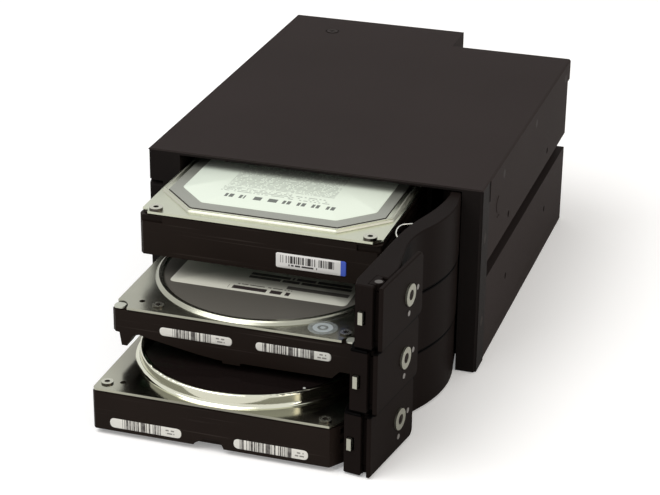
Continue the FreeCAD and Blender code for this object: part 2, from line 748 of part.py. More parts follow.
def finger_guard():
    """Stamped guard between fan and rear wall, as high as the wall: rings held by a cross."""
    piece = body("finger_guard")
    half = "fan_size / 2"
    rear = f"{CASE_REAR} - side_sheet"
    pad(piece, "XZ_Plane", GUARD_FRONT, rear,
        lambda s: outline(s, rounded((f"{FAN_ACROSS} - {half}", "base_sheet + 0.3"),
                                     (f"{FAN_ACROSS} + {half}", f"{ROOF} - 0.5"), "4")))
    pocket(piece, "XZ_Plane", GUARD_FRONT, rear, lambda s: fan_corners(s, "2.1"))

    def quarter_turned(along, beside, quarter):
        """A point given along and beside an arm of the cross, on the arm of that quarter."""
        across, up = ((along, beside), (f"-1 * {beside}", along), (f"-1 * {along}", f"-1 * {beside}"),
                      (beside, f"-1 * {along}"))[quarter]
        return f"{FAN_ACROSS} + {across}", f"{FAN_HIGH} + {up}"

    def windows(sketch):
        for ring in range(3):
            outer = f"(fan_bore_radius - 1 - {ring} * guard_pitch)"
            inner = f"({outer} - guard_slot)"
            outer_along = f"sqrt({outer} ^ 2 - guard_web ^ 2)"
            inner_along = f"sqrt({inner} ^ 2 - guard_web ^ 2)"
            for quarter in range(4):
                outline(sketch, [quarter_turned(inner_along, "guard_web", quarter),
                                 (*quarter_turned(outer_along, "guard_web", quarter), outer),
                                 quarter_turned("guard_web", outer_along, quarter),
                                 (*quarter_turned("guard_web", inner_along, quarter), f"-1 * {inner}")])
    pocket(piece, "XZ_Plane", GUARD_FRONT, rear, windows)
    return keep(piece, "finger_guard")


def fan_frame():
    """Square fan frame with a round duct, a motor seat on four struts and the fixed spindle."""
    piece = body("fan_frame")
    half = "fan_size / 2"
    pad(piece, "XZ_Plane", FAN_FRONT, GUARD_FRONT,
        lambda s: outline(s, rounded((f"{FAN_ACROSS} - {half}", f"{FAN_HIGH} - {half}"),
                                     (f"{FAN_ACROSS} + {half}", f"{FAN_HIGH} + {half}"), "4")))
    pocket(piece, "XZ_Plane", FAN_FRONT, GUARD_FRONT,
           lambda s: circle(s, FAN_ACROSS, FAN_HIGH, "fan_bore_radius"))
    pocket(piece, "XZ_Plane", FAN_FRONT, GUARD_FRONT, lambda s: fan_corners(s, "2.15"))

    def strut(low, high):
        pad(piece, "XZ_Plane", f"{GUARD_FRONT} - 2.4", GUARD_FRONT, lambda s: rectangle(s, low, high))
    reach = "(fan_bore_radius + 0.5)"
    strut((f"{FAN_ACROSS} - {reach}", f"{FAN_HIGH} - 1.6"), (f"{FAN_ACROSS} + {reach}", f"{FAN_HIGH} + 1.6"))
    strut((f"{FAN_ACROSS} - 1.6", f"{FAN_HIGH} - {reach}"), (f"{FAN_ACROSS} + 1.6", f"{FAN_HIGH} + {reach}"))
    pad(piece, "XZ_Plane", f"{GUARD_FRONT} - 2.4", GUARD_FRONT,
        lambda s: circle(s, FAN_ACROSS, FAN_HIGH, "fan_hub_radius"))
    pad(piece, "XZ_Plane", f"{FAN_FRONT} + 5", f"{GUARD_FRONT} - 2.2",
        lambda s: circle(s, FAN_ACROSS, FAN_HIGH, "1.5"))
    return keep(piece, "fan_frame")


def fan_screws():
    """Four screws from the rear through wall, guard and frame."""
    screws = []
    for i in (-1, 1):
        for j in (-1, 1):
            centre = (f"{FAN_ACROSS} + {i} * fan_hole_spacing / 2",
                      f"{FAN_HIGH} + {j} * fan_hole_spacing / 2")
            screws.append(fuse([rod("y", centre, "3.4", CASE_REAR, f"{CASE_REAR} + 1.4"),
                                rod("y", centre, "1.9", f"{CASE_REAR} - 10", CASE_REAR)]))
    return keep(group(screws), "fan_screws")


def fan_rotor():
    """Hub and pitched blades, drawn on the fan's own axis."""
    piece = body("fan_rotor")
    front, rear = f"{FAN_FRONT} + 1.5", f"{GUARD_FRONT} - 3.4"
    pad(piece, "XZ_Plane", front, rear, lambda s: circle(s, "0", "0", "fan_hub_radius"))
    tip = "(fan_bore_radius - blade_gap)"
    middle = f"(({front}) + ({rear})) / 2"

    def section(radius, half_chord, half_pitch):
        sketch = sketch_on(piece, "YZ_Plane", radius)
        outline(sketch, [(f"{middle} - {half_chord}", f"-1 * {half_pitch} - blade_sheet / 2"),
                         (f"{middle} + {half_chord}", f"{half_pitch} - blade_sheet / 2"),
                         (f"{middle} + {half_chord}", f"{half_pitch} + blade_sheet / 2"),
                         (f"{middle} - {half_chord}", f"-1 * {half_pitch} + blade_sheet / 2")])
        return sketch
    root = section("fan_hub_radius - 1", "6.2", "4.6")
    end = section(f"sqrt({tip} ^ 2 - 11 ^ 2)", "5.2", "9.4")
    blade = piece.newObject("PartDesign::AdditiveLoft", "blade")
    blade.Profile = root
    blade.Sections = [end]
    doc.recompute()
    fan = piece.newObject("PartDesign::PolarPattern", "blades")
    fan.Originals = [blade]
    fan.Axis = (next(f for f in piece.Origin.OriginFeatures if f.Role == "Y_Axis"), [""])
    fan.Angle = 360
    fan.Occurrences = BLADES
    piece.Tip = fan
    doc.recompute()
    pocket(piece, "XZ_Plane", f"{FAN_FRONT} + 4", rear,
           lambda s: circle(s, "0", "0", "1.5 + running_gap"))
    return keep(piece, "fan_rotor", across=FAN_ACROSS, high=FAN_HIGH)


# --- drives -------------------------------------------------------------------------------------

# Height of each casting above the underside of its drive.
CASTING = {level: f"casting_{name}" for level, name in DOORS.items()}
# How far each casting's front corners are cut back, left then right, across and along.
FRONT_CORNERS = {1: (("1.5", "1.5"), ("1.5", "1.5")), 2: (("1.5", "1.5"), ("1.5", "1.5")),
                 3: (("1", "1"), ("4", "6"))}
REAR_ROUND = "2.2"


def drive_seat(level):
    """Where a drive's own front, centre and underside lie."""
    return {"across": "drive_centre", "back": f"home_setback - pull_{DOORS[level]}",
            "high": bay_height(level)}


def tray(level, inset):
    """Outline of a casting, drawn in by an inset: cut front corners and rounded rear ones."""
    half = f"(drive_width / 2 - {inset})"
    near, far = f"({inset})", f"(drive_length - {inset})"
    (left, left_along), (right, right_along) = FRONT_CORNERS[level]
    return [(f"-{half} + {left}", near), (f"{half} - {right}", near), (half, f"{near} + {right_along}"),
            (half, f"{far} - {REAR_ROUND}", REAR_ROUND), (f"{half} - {REAR_ROUND}", far),
            (f"-{half} + {REAR_ROUND}", far, REAR_ROUND), (f"-{half}", f"{far} - {REAR_ROUND}"),
            (f"-{half}", f"{near} + {left_along}")]


def casting(level):
    """Cast tray: cut front corners, a set-in rim under the lid, grooved flanks, screw holes."""
    label = f"drive_{level}_casting"
    piece = body(label)
    half, top = "drive_width / 2", CASTING[level]
    pad(piece, "XY_Plane", "0", f"{top} - lid_shadow", lambda s: outline(s, tray(level, "0")))
    pad(piece, "XY_Plane", f"{top} - lid_shadow", top, lambda s: outline(s, tray(level, "shadow_inset")))
    pocket(piece, "XY_Plane", "0", "4.2",
           lambda s: rectangle(s, (f"-{half} + 6", "7"), (f"{half} - 6", "drive_length + 1")))

    def flanks(sketch):
        for side in (-1, 1):
            outside, inside = f"{side} * ({half} + 1)", f"{side} * ({half} - 1.1)"
            edges = sorted((outside, inside), key=value)
            rectangle(sketch, (edges[0], "8.6"), (edges[1], "10.8"))
            rectangle(sketch, (edges[0], f"{top} - 4.2"), (edges[1], f"{top} - 1.6"))
    pocket(piece, "XZ_Plane", "3", "drive_length - 4", flanks)

    def screw_holes(sketch):
        for back in ("28.5", "70.1", "130.1"):
            circle(sketch, f"drive_length - {back}", "6.35", "1.6")
    pocket(piece, "YZ_Plane", f"-{half}", f"-{half} + 4.5", screw_holes)
    pocket(piece, "YZ_Plane", f"{half} - 4.5", half, screw_holes)
    socket_middle = f"{SOCKET_ACROSS} - drive_centre"
    pocket(piece, "XZ_Plane", "drive_length - 5.4", "drive_length",
           lambda s: rectangle(s, (f"{socket_middle} - 18", "2.4"), (f"{socket_middle} + 18", "9.2")))
    FRONT_CUTS[level](piece)
    return keep(piece, label, **drive_seat(level))


def cut_top_front(piece):
    """Shallow recesses under the lid at both ends of the front wall."""
    def ears(sketch):
        for side in (-1, 1):
            edges = sorted((f"{side} * (drive_width / 2 + 1)", f"{side} * (drive_width / 2 - 10)"), key=value)
            rectangle(sketch, (edges[0], "14.4"), (edges[1], "17"))
    pocket(piece, "XZ_Plane", "0", "0.9", ears)


def cut_middle_front(piece):
    """Front wall undercut at both ends, with a pointed foot, a tab below and two corner pads."""
    left, right = "-drive_width / 2", "drive_width / 2"

    def undercut(sketch):
        outline(sketch, [(f"{left} - 1", "-1"), (f"{left} + 4", "-1"), (f"{left} + 3", "5.6"),
                         (f"{left} - 1", "6")])
        outline(sketch, [(f"{left} + 5.6", "-1"), (f"{left} + 45", "-1"), (f"{left} + 45", "0"),
                         (f"{left} + 36.5", "1"), (f"{left} + 16", "4.6"), (f"{left} + 11.5", "5.6"),
                         (f"{left} + 8.8", "4.9")])
        outline(sketch, [(f"{right} - 9.8", "-1"), (f"{right} + 1", "-1"), (f"{right} + 1", "3.2"),
                         (f"{right} - 7", "3.2"), (f"{right} - 9.8", "0.4")])
    pocket(piece, "XZ_Plane", "0", "8", undercut)
    pad(piece, "XZ_Plane", "0", "3", lambda s: rectangle(s, ("-4.4", "-1.1"), ("3", "1")))

    def corner_pads(sketch):
        outline(sketch, rounded((f"{left} + 0.5", "0.4"), (f"{left} + 5", "4.6"), "1.5"))
        outline(sketch, rounded((f"{right} - 5", "0.4"), (f"{right} - 0.5", "4.6"), "1.5"))
    top = CASTING[2]
    pad(piece, "XY_Plane", f"{top} - lid_shadow", f"{top} + 0.7", corner_pads)


def cut_bottom_front(piece):
    """Small arched notch in the lower edge of the front wall."""
    def arch(sketch):
        outline(sketch, [("-8.6", "-1"), ("3.8", "-1"), ("3.8", "0.3"), ("2.2", "3.6"),
                         ("-3.6", "3.6"), ("-8.6", "0.5")])
    pocket(piece, "XZ_Plane", "0", "3", arch)


FRONT_CUTS = {1: cut_top_front, 2: cut_middle_front, 3: cut_bottom_front}


def chamfered(inset, corner, start):
    """Octagonal outline of a raised part of a lid; its front edge lies an inset behind start."""
    half = f"(drive_width / 2 - {inset})"
    near, far = f"({start} + {inset})", f"(drive_length - {inset})"
    return [(f"-{half} + {corner}", near), (f"{half} - {corner}", near), (half, f"{near} + {corner}"),
            (half, f"{far} - {corner}"), (f"{half} - {corner}", far), (f"-{half} + {corner}", far),
            (f"-{half}", f"{far} - {corner}"), (f"-{half}", f"{near} + {corner}")]


def notched(notch):
    """Outline of a flat lid with a round notch in each front corner."""
    half, near, far = "(drive_width / 2 - lid_inset)", "lid_inset", "(drive_length - lid_inset)"
    return [(f"-{half} + {notch}", near), (f"{half} - {notch}", near, f"-1 * {notch}"),
            (half, f"{near} + {notch}"), (half, f"{far} - {REAR_ROUND}", REAR_ROUND),
            (f"{half} - {REAR_ROUND}", far), (f"-{half} + {REAR_ROUND}", far, REAR_ROUND),
            (f"-{half}", f"{far} - {REAR_ROUND}"), (f"-{half}", f"{near} + {notch}", f"-1 * {notch}")]


DOME_BACK = "(drive_width / 2 - 1.6)"


def dish(floor, sheet_top):
    """Section of a shallow dish with a raised rim."""
    top, foot, rim = f"{floor} + 2.4", "48.4", "47.6"
    return [("0", f"{floor} + 0.2"), (foot, f"{floor} + 0.2"), (foot, sheet_top),
            (rim, f"{top} - 0.5"), (f"{rim} - 0.6", top), (f"{rim} - 2.2", top),
            (f"{rim} - 3", f"{top} - 0.7"), ("0", f"{top} - 0.7")]


def dome(floor, sheet_top):
    """Section of a tall dome: hollow foot fillet, round shoulder and a thin groove inside the rim."""
    top, foot, fillet, shoulder = f"{floor} + 6.2", "48.6", "1.6", "0.9"
    wall = f"({foot} - {fillet})"
    groove = f"({wall} - {shoulder} - 0.4)"
    disc = f"({groove} - 0.6)"
    return [("0", f"{floor} + 0.2"), (foot, f"{floor} + 0.2"), (foot, sheet_top, f"-1 * {fillet}"),
            (wall, f"{sheet_top} + {fillet}"), (wall, f"{top} - {shoulder}", shoulder),
            (f"{wall} - {shoulder}", top), (groove, top), (groove, f"{top} - 0.7"),
            (disc, f"{top} - 0.7"), (disc, f"{top} - 0.1"), ("0", f"{top} - 0.1")]


def drive_cover(level):
    """Formed lid: a stepped octagon, a flat lid with a shallow dish, or a round dome."""
    label = f"drive_{level}_cover"
    piece = body(label)
    floor = CASTING[level]
    sheet_top = f"({floor} + lid_sheet)"
    corners = {1: notched("3.4"), 2: notched("6.2"), 3: tray(3, "lid_inset")}[level]
    pad(piece, "XY_Plane", floor, sheet_top, lambda s: outline(s, corners))
    if level == 1:
        pad(piece, "XY_Plane", sheet_top, f"{floor} + 2.2",
            lambda s: outline(s, chamfered("1.8", "17.8", start="2.9")))
        pad(piece, "XY_Plane", f"{floor} + 2.2", f"{floor} + 2.6",
            lambda s: outline(s, chamfered("4.6", "15.3", start="1.5")))
    else:
        section = {2: dish, 3: dome}[level]
        revolve(piece, "Revolution", DOME_BACK, section(floor, sheet_top))
        pocket(piece, "XY_Plane", floor, sheet_top, lambda s: circle(s, "-40.8", "7.6", "1.2"))
    return keep(piece, label, **drive_seat(level))


def drive_board(level):
    """Circuit board in the recess under a drive, with a few parts on it."""
    half = "drive_width / 2"
    board = block((f"-{half} + 7", "9", "2.6"), (f"{half} - 7", "drive_length - 6", "4.2"))
    motor = rod("z", ("0", DOME_BACK), "13", "1.6", "2.6")
    spots = (("-34", "70", "-20", "84"), ("8", "80", "26", "98"), ("-12", "100", "2", "114"))
    chips = [block((x0, y0, "1.4"), (x1, y1, "2.6")) for x0, y0, x1, y1 in spots]
    return keep(fuse([board, motor, *chips]), f"drive_{level}_board", **drive_seat(level))


def drive_connector(level):
    """Contact tongue in the rear recess of a drive, which the bay's receptacle takes."""
    middle = f"({SOCKET_ACROSS} - drive_centre)"
    tongue = block((f"{middle} - 14.8", "drive_length - 5.4", "5.2"),
                   (f"{middle} + 14.8", "drive_length - 0.6", "6.4"))
    return keep(group([tongue]), f"drive_{level}_connector", **drive_seat(level))


# Lid screws of each drive as (across, back).
REAR_SCREWS = (("-44.8", "drive_length - 6"), ("44.8", "drive_length - 6"))
LID_SCREWS = {
    1: (("-44.6", "3.1"), ("45.4", "3.1"), *REAR_SCREWS),
    2: (("-33.2", "5.6"), ("44.2", "6.4"), ("-45.2", "76"), ("45.2", "76"), *REAR_SCREWS),
    3: (("-46.6", "5.6"), ("43.7", "4.2"), ("-45.2", "102"), ("45.2", "102"), *REAR_SCREWS),
}
# Radius and height of the screw heads, and the radius of the socket in each of them.
SCREW_HEAD = {1: ("2.8", "1.2"), 2: ("2.3", "0.7"), 3: ("2.4", "0.7")}
SCREW_SOCKET = "1.1"


def drive_screws(level):
    """Lid screws along both edges, with round sockets in their heads."""
    top = f"({CASTING[level]} + lid_sheet)"
    radius, height = SCREW_HEAD[level]
    screws = []
    for centre in LID_SCREWS[level]:
        head = rod("z", centre, radius, top, f"{top} + {height}")
        screws.append(cut(head, [rod("z", centre, SCREW_SOCKET, f"{top} + {height} / 2", f"{top} + 2")]))
    return keep(group(screws), f"drive_{level}_screws", **drive_seat(level))


# --- doors: drawn lying along +X from the hinge, outer side towards +Y ---------------------------

# The handle's pin (u along the door, v across it), the room round it, and the light pipes.
PIN_U = "(door_length - pin_back)"
PIN_V = "(plate_face - plate_sheet - handle_gap - lug_wall - handle_pin_radius + 0.1)"
PLATE_BACK = "(plate_face - plate_sheet)"
ARM_TOP = f"({PLATE_BACK} - handle_gap)"
CAVITY = (f"({PIN_U} - 4.3)", f"({PIN_U} + 3.1)")
CAVITY_FLOOR = f"({PIN_V} - handle_pin_radius - lug_wall - 0.2)"
DOOR_MIDDLE = "(door_height / 2)"
LAMPS = (("lock_place - 7.8", DOOR_MIDDLE), ("lock_place + 0.4", f"{DOOR_MIDDLE} - 7.6"))


def door_seat(level):
    """Where a door's own hinge axis and underside lie, and how far it stands open."""
    return {"across": "hinge_across", "back": "hinge_back", "high": door_height_at(level),
            "turn": f"180 - open_{DOORS[level]}"}


def bend(crown, crown_rise, crown_radius, valley, valley_rise):
    """Radius of the valley and the joint of two arcs that meet smoothly between crown and valley."""
    drop = f"({crown_rise} - {valley_rise})"
    both = f"((({valley} - {crown}) ^ 2 + {drop} ^ 2) / (2 * {drop}))"
    share = f"({crown_radius} / {both})"
    valley_radius = f"({both} - {crown_radius})"
    joint = (f"{crown} + ({valley} - {crown}) * {share}",
             f"{crown_rise} - {crown_radius} + ({both} - {drop}) * {share}")
    return valley_radius, joint


def crown_at(crown, rise, radius, place_along):
    """Height of a crown arc at a place along the door."""
    return f"{rise} - {radius} + sqrt({radius} ^ 2 - ({place_along} - {crown}) ^ 2)"


def valley_at(valley, rise, radius, place_along):
    """Height of a valley arc at a place along the door."""
    return f"{rise} + {radius} - sqrt({radius} ^ 2 - ({place_along} - {valley}) ^ 2)"


def door_arm(level):
    """Gooseneck arm: two S curves between hinge barrel and handle end, lugs and latch channel."""
    label = f"door_{level}_arm"
    piece = body(label)
    inner_radius, inner_joint = bend("inner_crown", "inner_crown_rise", "inner_crown_radius",
                                     "inner_valley", "inner_valley_rise")
    outer_radius, outer_joint = bend("outer_crown", "outer_crown_rise", "outer_crown_radius",
                                     "outer_valley", "outer_valley_rise")
    inner_start, inner_end = "17.6", "(inner_valley + 3.7)"
    outer_start, outer_end, arm_step = "20", "(outer_valley + 9.5)", "94.8"
    corners = [
        ("barrel_radius * cos(35)", "-barrel_radius * sin(35)"),
        (inner_start, crown_at("inner_crown", "inner_crown_rise", "inner_crown_radius", inner_start),
         "-inner_crown_radius"),
        (*inner_joint, inner_radius),
        (inner_end, valley_at("inner_valley", "inner_valley_rise", inner_radius, inner_end)),
        ("door_length - 5.1", "inner_valley_rise + 1.8"),
        ("door_length", "inner_valley_rise + 3.3"),
        ("door_length", PIN_V),
        (CAVITY[1], PIN_V), (CAVITY[1], CAVITY_FLOOR), (CAVITY[0], CAVITY_FLOOR), (CAVITY[0], ARM_TOP),
        (arm_step, ARM_TOP),
        (outer_end, valley_at("outer_valley", "outer_valley_rise", outer_radius, outer_end),
         f"-1 * {outer_radius}"),
        (*outer_joint, "outer_crown_radius"),
        (outer_start, crown_at("outer_crown", "outer_crown_rise", "outer_crown_radius", outer_start)),
        ("-barrel_radius * sin(26)", "barrel_radius * cos(26)", "barrel_radius"),
    ]
    arm = pad(piece, "XY_Plane", "0", "door_height", lambda s: outline(s, corners))
    bevel(piece, arm, (0, 0, 1), "door_bevel")
    bevel(piece, piece.Tip, (0, 0, -1), "door_bevel")

    def lug(sketch):
        reach = "(handle_pin_radius + lug_wall - 0.2)"
        outline(sketch, [(CAVITY[0], f"{CAVITY_FLOOR} - 0.1"), (CAVITY[1], f"{CAVITY_FLOOR} - 0.1"),
                         (CAVITY[1], PIN_V), (f"{PIN_U} + {reach}", PIN_V, reach),
                         (PIN_U, f"{PIN_V} + {reach}", reach),
                         (f"{PIN_U} - {reach}", PIN_V), (CAVITY[0], PIN_V)])
    pad(piece, "XY_Plane", "0", "lug_sheet", lug)
    pad(piece, "XY_Plane", "door_height - lug_sheet", "door_height", lug)

    def neck(sketch):
        rectangle(sketch, ("-barrel_radius - 1", "-barrel_radius - 1"), ("neck_length", "13"))
    pocket(piece, "XY_Plane", "0", "neck_inset", neck)
    pocket(piece, "XY_Plane", "door_height - neck_inset", "door_height", neck)
    pocket(piece, "XY_Plane", "neck_inset", "door_height - neck_inset",
           lambda s: circle(s, "0", "0", "hinge_pin_radius + running_gap"))
    for low in ("0", "door_height - lug_sheet"):
        pocket(piece, "XY_Plane", low, f"{low} + lug_sheet",
               lambda s: circle(s, PIN_U, PIN_V, "handle_pin_radius"))
    room = "(latch_height / 2 + 0.3)"
    low_v = "(latch_centre - latch_width / 2 - 0.3)"
    high_v = "(latch_centre + latch_width / 2 + latch_slack)"
    pocket(piece, "XY_Plane", f"{DOOR_MIDDLE} - {room}", f"{DOOR_MIDDLE} + {room}",
           lambda s: rectangle(s, (f"{CAVITY[0]} - 4.2", low_v), ("door_length", high_v)))
    pocket(piece, "XY_Plane", f"{DOOR_MIDDLE} - {room}", f"{DOOR_MIDDLE} + {room}",
           lambda s: rectangle(s, (CAVITY[0], f"{high_v} - 0.1"), (CAVITY[1], f"{CAVITY_FLOOR} + 0.1")))

    def cores(sketch):
        for k in range(4):
            start = f"26 + {k} * 17"
            outline(sketch, rounded((start, "4"), (f"{start} + 13", "door_height - 4"), "1.5"))
    pocket(piece, "XZ_Plane", "0", "inner_valley_rise + 4.2", cores)
    return keep(piece, label, **door_seat(level))


def door_handle(level):
    """Release handle: a thin plate hinged by its lug, with a cam finger for the latch."""
    label = f"door_{level}_handle"
    piece = body(label)
    plate_end = "(door_length - 0.2)"
    low, high = ("plate_start", "0"), (plate_end, "door_height")
    corners = [(low[0], f"{low[1]} + 3", "3"), (f"{low[0]} + 3", low[1]), high[:1] + ("0",), high,
               (f"{low[0]} + 3", high[1], "3"), (low[0], f"{high[1]} - 3")]
    plate = pad(piece, "XZ_Plane", PLATE_BACK, "plate_face", lambda s: outline(s, corners))
    bevel(piece, plate, (0, 1, 0), "door_bevel")
    reach = "(handle_pin_radius + lug_wall)"
    foot, head = "(lug_sheet + 0.3)", "(door_height - lug_sheet - 0.3)"

    def lug(sketch):
        outline(sketch, [(f"{PIN_U} + {reach}", f"{PLATE_BACK} + 0.1"),
                         (f"{PIN_U} - {reach}", f"{PLATE_BACK} + 0.1"),
                         (f"{PIN_U} - {reach}", PIN_V, reach), (PIN_U, f"{PIN_V} - {reach}", reach),
                         (f"{PIN_U} + {reach}", PIN_V)])
    pad(piece, "XY_Plane", foot, head, lug)
    pad(piece, "XY_Plane", f"{DOOR_MIDDLE} - 1.1", f"{DOOR_MIDDLE} + 1.1",
        lambda s: rectangle(s, (f"{PIN_U} - 0.6", "latch_centre - 0.8"), (f"{PIN_U} + 0.6", f"{PIN_V} - 1")))
    pocket(piece, "XY_Plane", foot, head,
           lambda s: circle(s, PIN_U, PIN_V, "handle_pin_radius + running_gap"))
    pocket(piece, "XZ_Plane", PLATE_BACK, "plate_face",
           lambda s: circle(s, "lock_place", DOOR_MIDDLE, "lock_core_radius + running_gap"))

    def lamps(sketch):
        for along, up in LAMPS:
            circle(sketch, along, up, "lamp_radius")
    pocket(piece, "XZ_Plane", PLATE_BACK, "plate_face", lamps)
    return keep(piece, label, **door_seat(level))


def door_fittings(level):
    """Handle pin, latch tongue, lock ring, lock core and light pipes of one door."""
    seat = door_seat(level)
    pin = rod("z", (PIN_U, PIN_V), "handle_pin_radius", "0", "door_height")
    keep(group([pin]), f"door_{level}_handle_pin", **seat)
    half = "latch_width / 2"
    bar = block((f"{CAVITY[0]} - 2.8", f"latch_centre - {half}", f"{DOOR_MIDDLE} - latch_height / 2"),
                ("door_length + latch_reach", f"latch_centre + {half}", f"{DOOR_MIDDLE} + latch_height / 2"))
    slot = block((f"{PIN_U} - 1.3", f"latch_centre - {half} - 1", f"{DOOR_MIDDLE} - 1.5"),
                 (f"{PIN_U} + 1.3", f"latch_centre + {half} + 1", f"{DOOR_MIDDLE} + 1.5"))
    keep(cut(bar, [slot]), f"door_{level}_latch", **seat)
    centre = ("lock_place", DOOR_MIDDLE)
    core_radius = "lock_core_radius"
    ring = cut(rod("y", centre, f"{core_radius} + lock_ring_width", "plate_face", "plate_face + 0.8"),
               [rod("y", centre, f"{core_radius} + running_gap", "plate_face - 1", "plate_face + 2")])
    keep(ring, f"door_{level}_lock_ring", **seat)
    core = cut(rod("y", centre, core_radius, f"{PLATE_BACK} - 1", "plate_face + 0.5"),
               [block(("lock_place - 0.4", "plate_face - 1", f"{DOOR_MIDDLE} - 1.5"),
                      ("lock_place + 0.4", "plate_face + 1", f"{DOOR_MIDDLE} + 1.5"))])
    keep(core, f"door_{level}_lock_core", **seat)
    keep(group([rod("y", spot, "lamp_radius", f"{PLATE_BACK} - 0.5", "plate_face + 0.2") for spot in LAMPS]),
         f"door_{level}_light_pipes", **seat)


def hinge_pin():
    """The one pin that carries all three doors, from the floor to above the top tab."""
    pin = rod("z", ("hinge_across", "hinge_back"), "hinge_pin_radius", "0.2", f"{ROOF} - 0.2")
    return keep(group([pin]), "hinge_pin")


# --- build --------------------------------------------------------------------------------------

side_wall("left_side", SIDE_LEFT, 1, CASE_REAR)
side_wall("right_side", SIDE_RIGHT, -1, "case_depth")
bottom_plate()
top_cover()
cover_screws()
front_bezel()
bezel_screws()
guide("left_guides", GUIDE_LEFT, -1, f"{SIDE_LEFT} + side_sheet")
guide("right_guides", GUIDE_RIGHT, 1, f"{SIDE_RIGHT} - side_sheet")
hinge_bracket()
hinge_pin()
backplane()
bay_connectors()
rear_connectors()
rear_panel()
fan_housing()
finger_guard()
fan_frame()
fan_screws()
fan_rotor()
for number in DOORS:
    casting(number)
    drive_cover(number)
    drive_board(number)
    drive_connector(number)
    drive_screws(number)
    door_arm(number)
    door_handle(number)
    door_fittings(number)
doc.recompute()

faults = [f"{thing.Name} failed: {thing.State}" for thing in doc.Objects
          if "Invalid" in thing.State or "Error" in thing.State]
faults += [f"{thing.Name} cuts nothing" for thing in doc.Objects
           if thing.TypeId == "PartDesign::Pocket"
           and thing.Shape.Volume > thing.BaseFeature.Shape.Volume - 1e-3]
if faults:
    raise RuntimeError("; ".join(faults))

os.makedirs("parts", exist_ok=True)
for thing in nodes:
    shape = thing.Shape
    if shape.isNull() or not shape.isValid() or shape.Volume <= 0:
        raise RuntimeError(f"{thing.Label} has no valid shape")
    shape.exportStep(f"parts/{thing.Label}.step")
print(len(nodes), "pieces written")
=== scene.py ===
"""Looks of a hot swap drive cage: three drives pulled out of a dark two-bay cage with gooseneck doors."""

import json
import math

import bpy
import numpy as np
from mathutils import Matrix, Vector

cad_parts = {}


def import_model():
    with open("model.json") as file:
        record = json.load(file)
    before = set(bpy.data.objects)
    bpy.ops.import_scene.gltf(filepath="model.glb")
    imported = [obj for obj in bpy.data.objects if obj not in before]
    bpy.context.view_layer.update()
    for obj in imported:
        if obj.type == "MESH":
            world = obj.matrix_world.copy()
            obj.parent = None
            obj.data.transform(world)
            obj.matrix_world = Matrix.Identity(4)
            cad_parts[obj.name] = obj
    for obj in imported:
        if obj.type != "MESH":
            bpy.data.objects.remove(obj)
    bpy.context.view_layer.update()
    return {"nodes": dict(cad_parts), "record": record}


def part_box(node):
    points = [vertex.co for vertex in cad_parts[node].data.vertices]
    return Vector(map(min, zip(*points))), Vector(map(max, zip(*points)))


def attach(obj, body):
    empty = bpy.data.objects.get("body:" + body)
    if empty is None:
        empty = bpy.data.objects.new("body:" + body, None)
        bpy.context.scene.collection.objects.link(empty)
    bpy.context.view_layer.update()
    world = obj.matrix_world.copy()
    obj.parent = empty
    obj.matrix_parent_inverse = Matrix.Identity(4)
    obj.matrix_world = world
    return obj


MM = 0.001
PRINT_MAP = "print"

# the camera: angles in degrees, the rest in millimetres
AZIMUTH, ELEVATION, ROLL = 17.53, 24.11, 0.6371
TARGET = (-23.3545, 13.0, 1.1783)
DISTANCE = 948.838
SENSOR = 36.0
LENS = 108.809236

# places on the cage and the drives, in millimetres
CASE_FRONT = -87.0
LID_WIDTH = 101.6
LID_LENGTH = 147.0
LID_CENTRE = 49.2
LABEL_MIDDLE = 63.0
DISC_RADIUS = 45.5
RIM_RADIUS = 48.8
HOLLOW_INSET = 3.0
HOLLOW_BEHIND = 1.0
PLATE_EDGE = 0.05
SCREW_TOP = 0.06

# the floor, in metres
FLOOR_HALF = 4.0
FLOOR_LEVEL = -0.0004

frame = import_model()


# ---- camera, floor and studio light ----

def studio():
    """The camera, which stands off from its target along two angles and is rolled about its view."""
    azimuth, elevation, roll = (math.radians(angle) for angle in (AZIMUTH, ELEVATION, ROLL))
    target = Vector(TARGET) * MM
    back = Vector((math.sin(azimuth) * math.cos(elevation), -math.cos(azimuth) * math.cos(elevation),
                   math.sin(elevation)))
    level_right = (-back).cross(Vector((0, 0, 1))).normalized()
    level_up = level_right.cross(-back)
    right = level_right * math.cos(roll) + level_up * math.sin(roll)
    up = level_up * math.cos(roll) - level_right * math.sin(roll)
    lens = bpy.data.cameras.new("camera")
    lens.sensor_width = SENSOR
    lens.lens = LENS
    lens.clip_start, lens.clip_end = 0.05, 20.0
    camera = bpy.data.objects.new("camera", lens)
    turn = Matrix((right, up, back)).transposed().to_4x4()
    camera.matrix_world = Matrix.Translation(target + back * DISTANCE * MM) @ turn
    bpy.context.scene.collection.objects.link(camera)
    bpy.context.scene.camera = camera
    bpy.context.scene.view_settings.view_transform = "Standard"


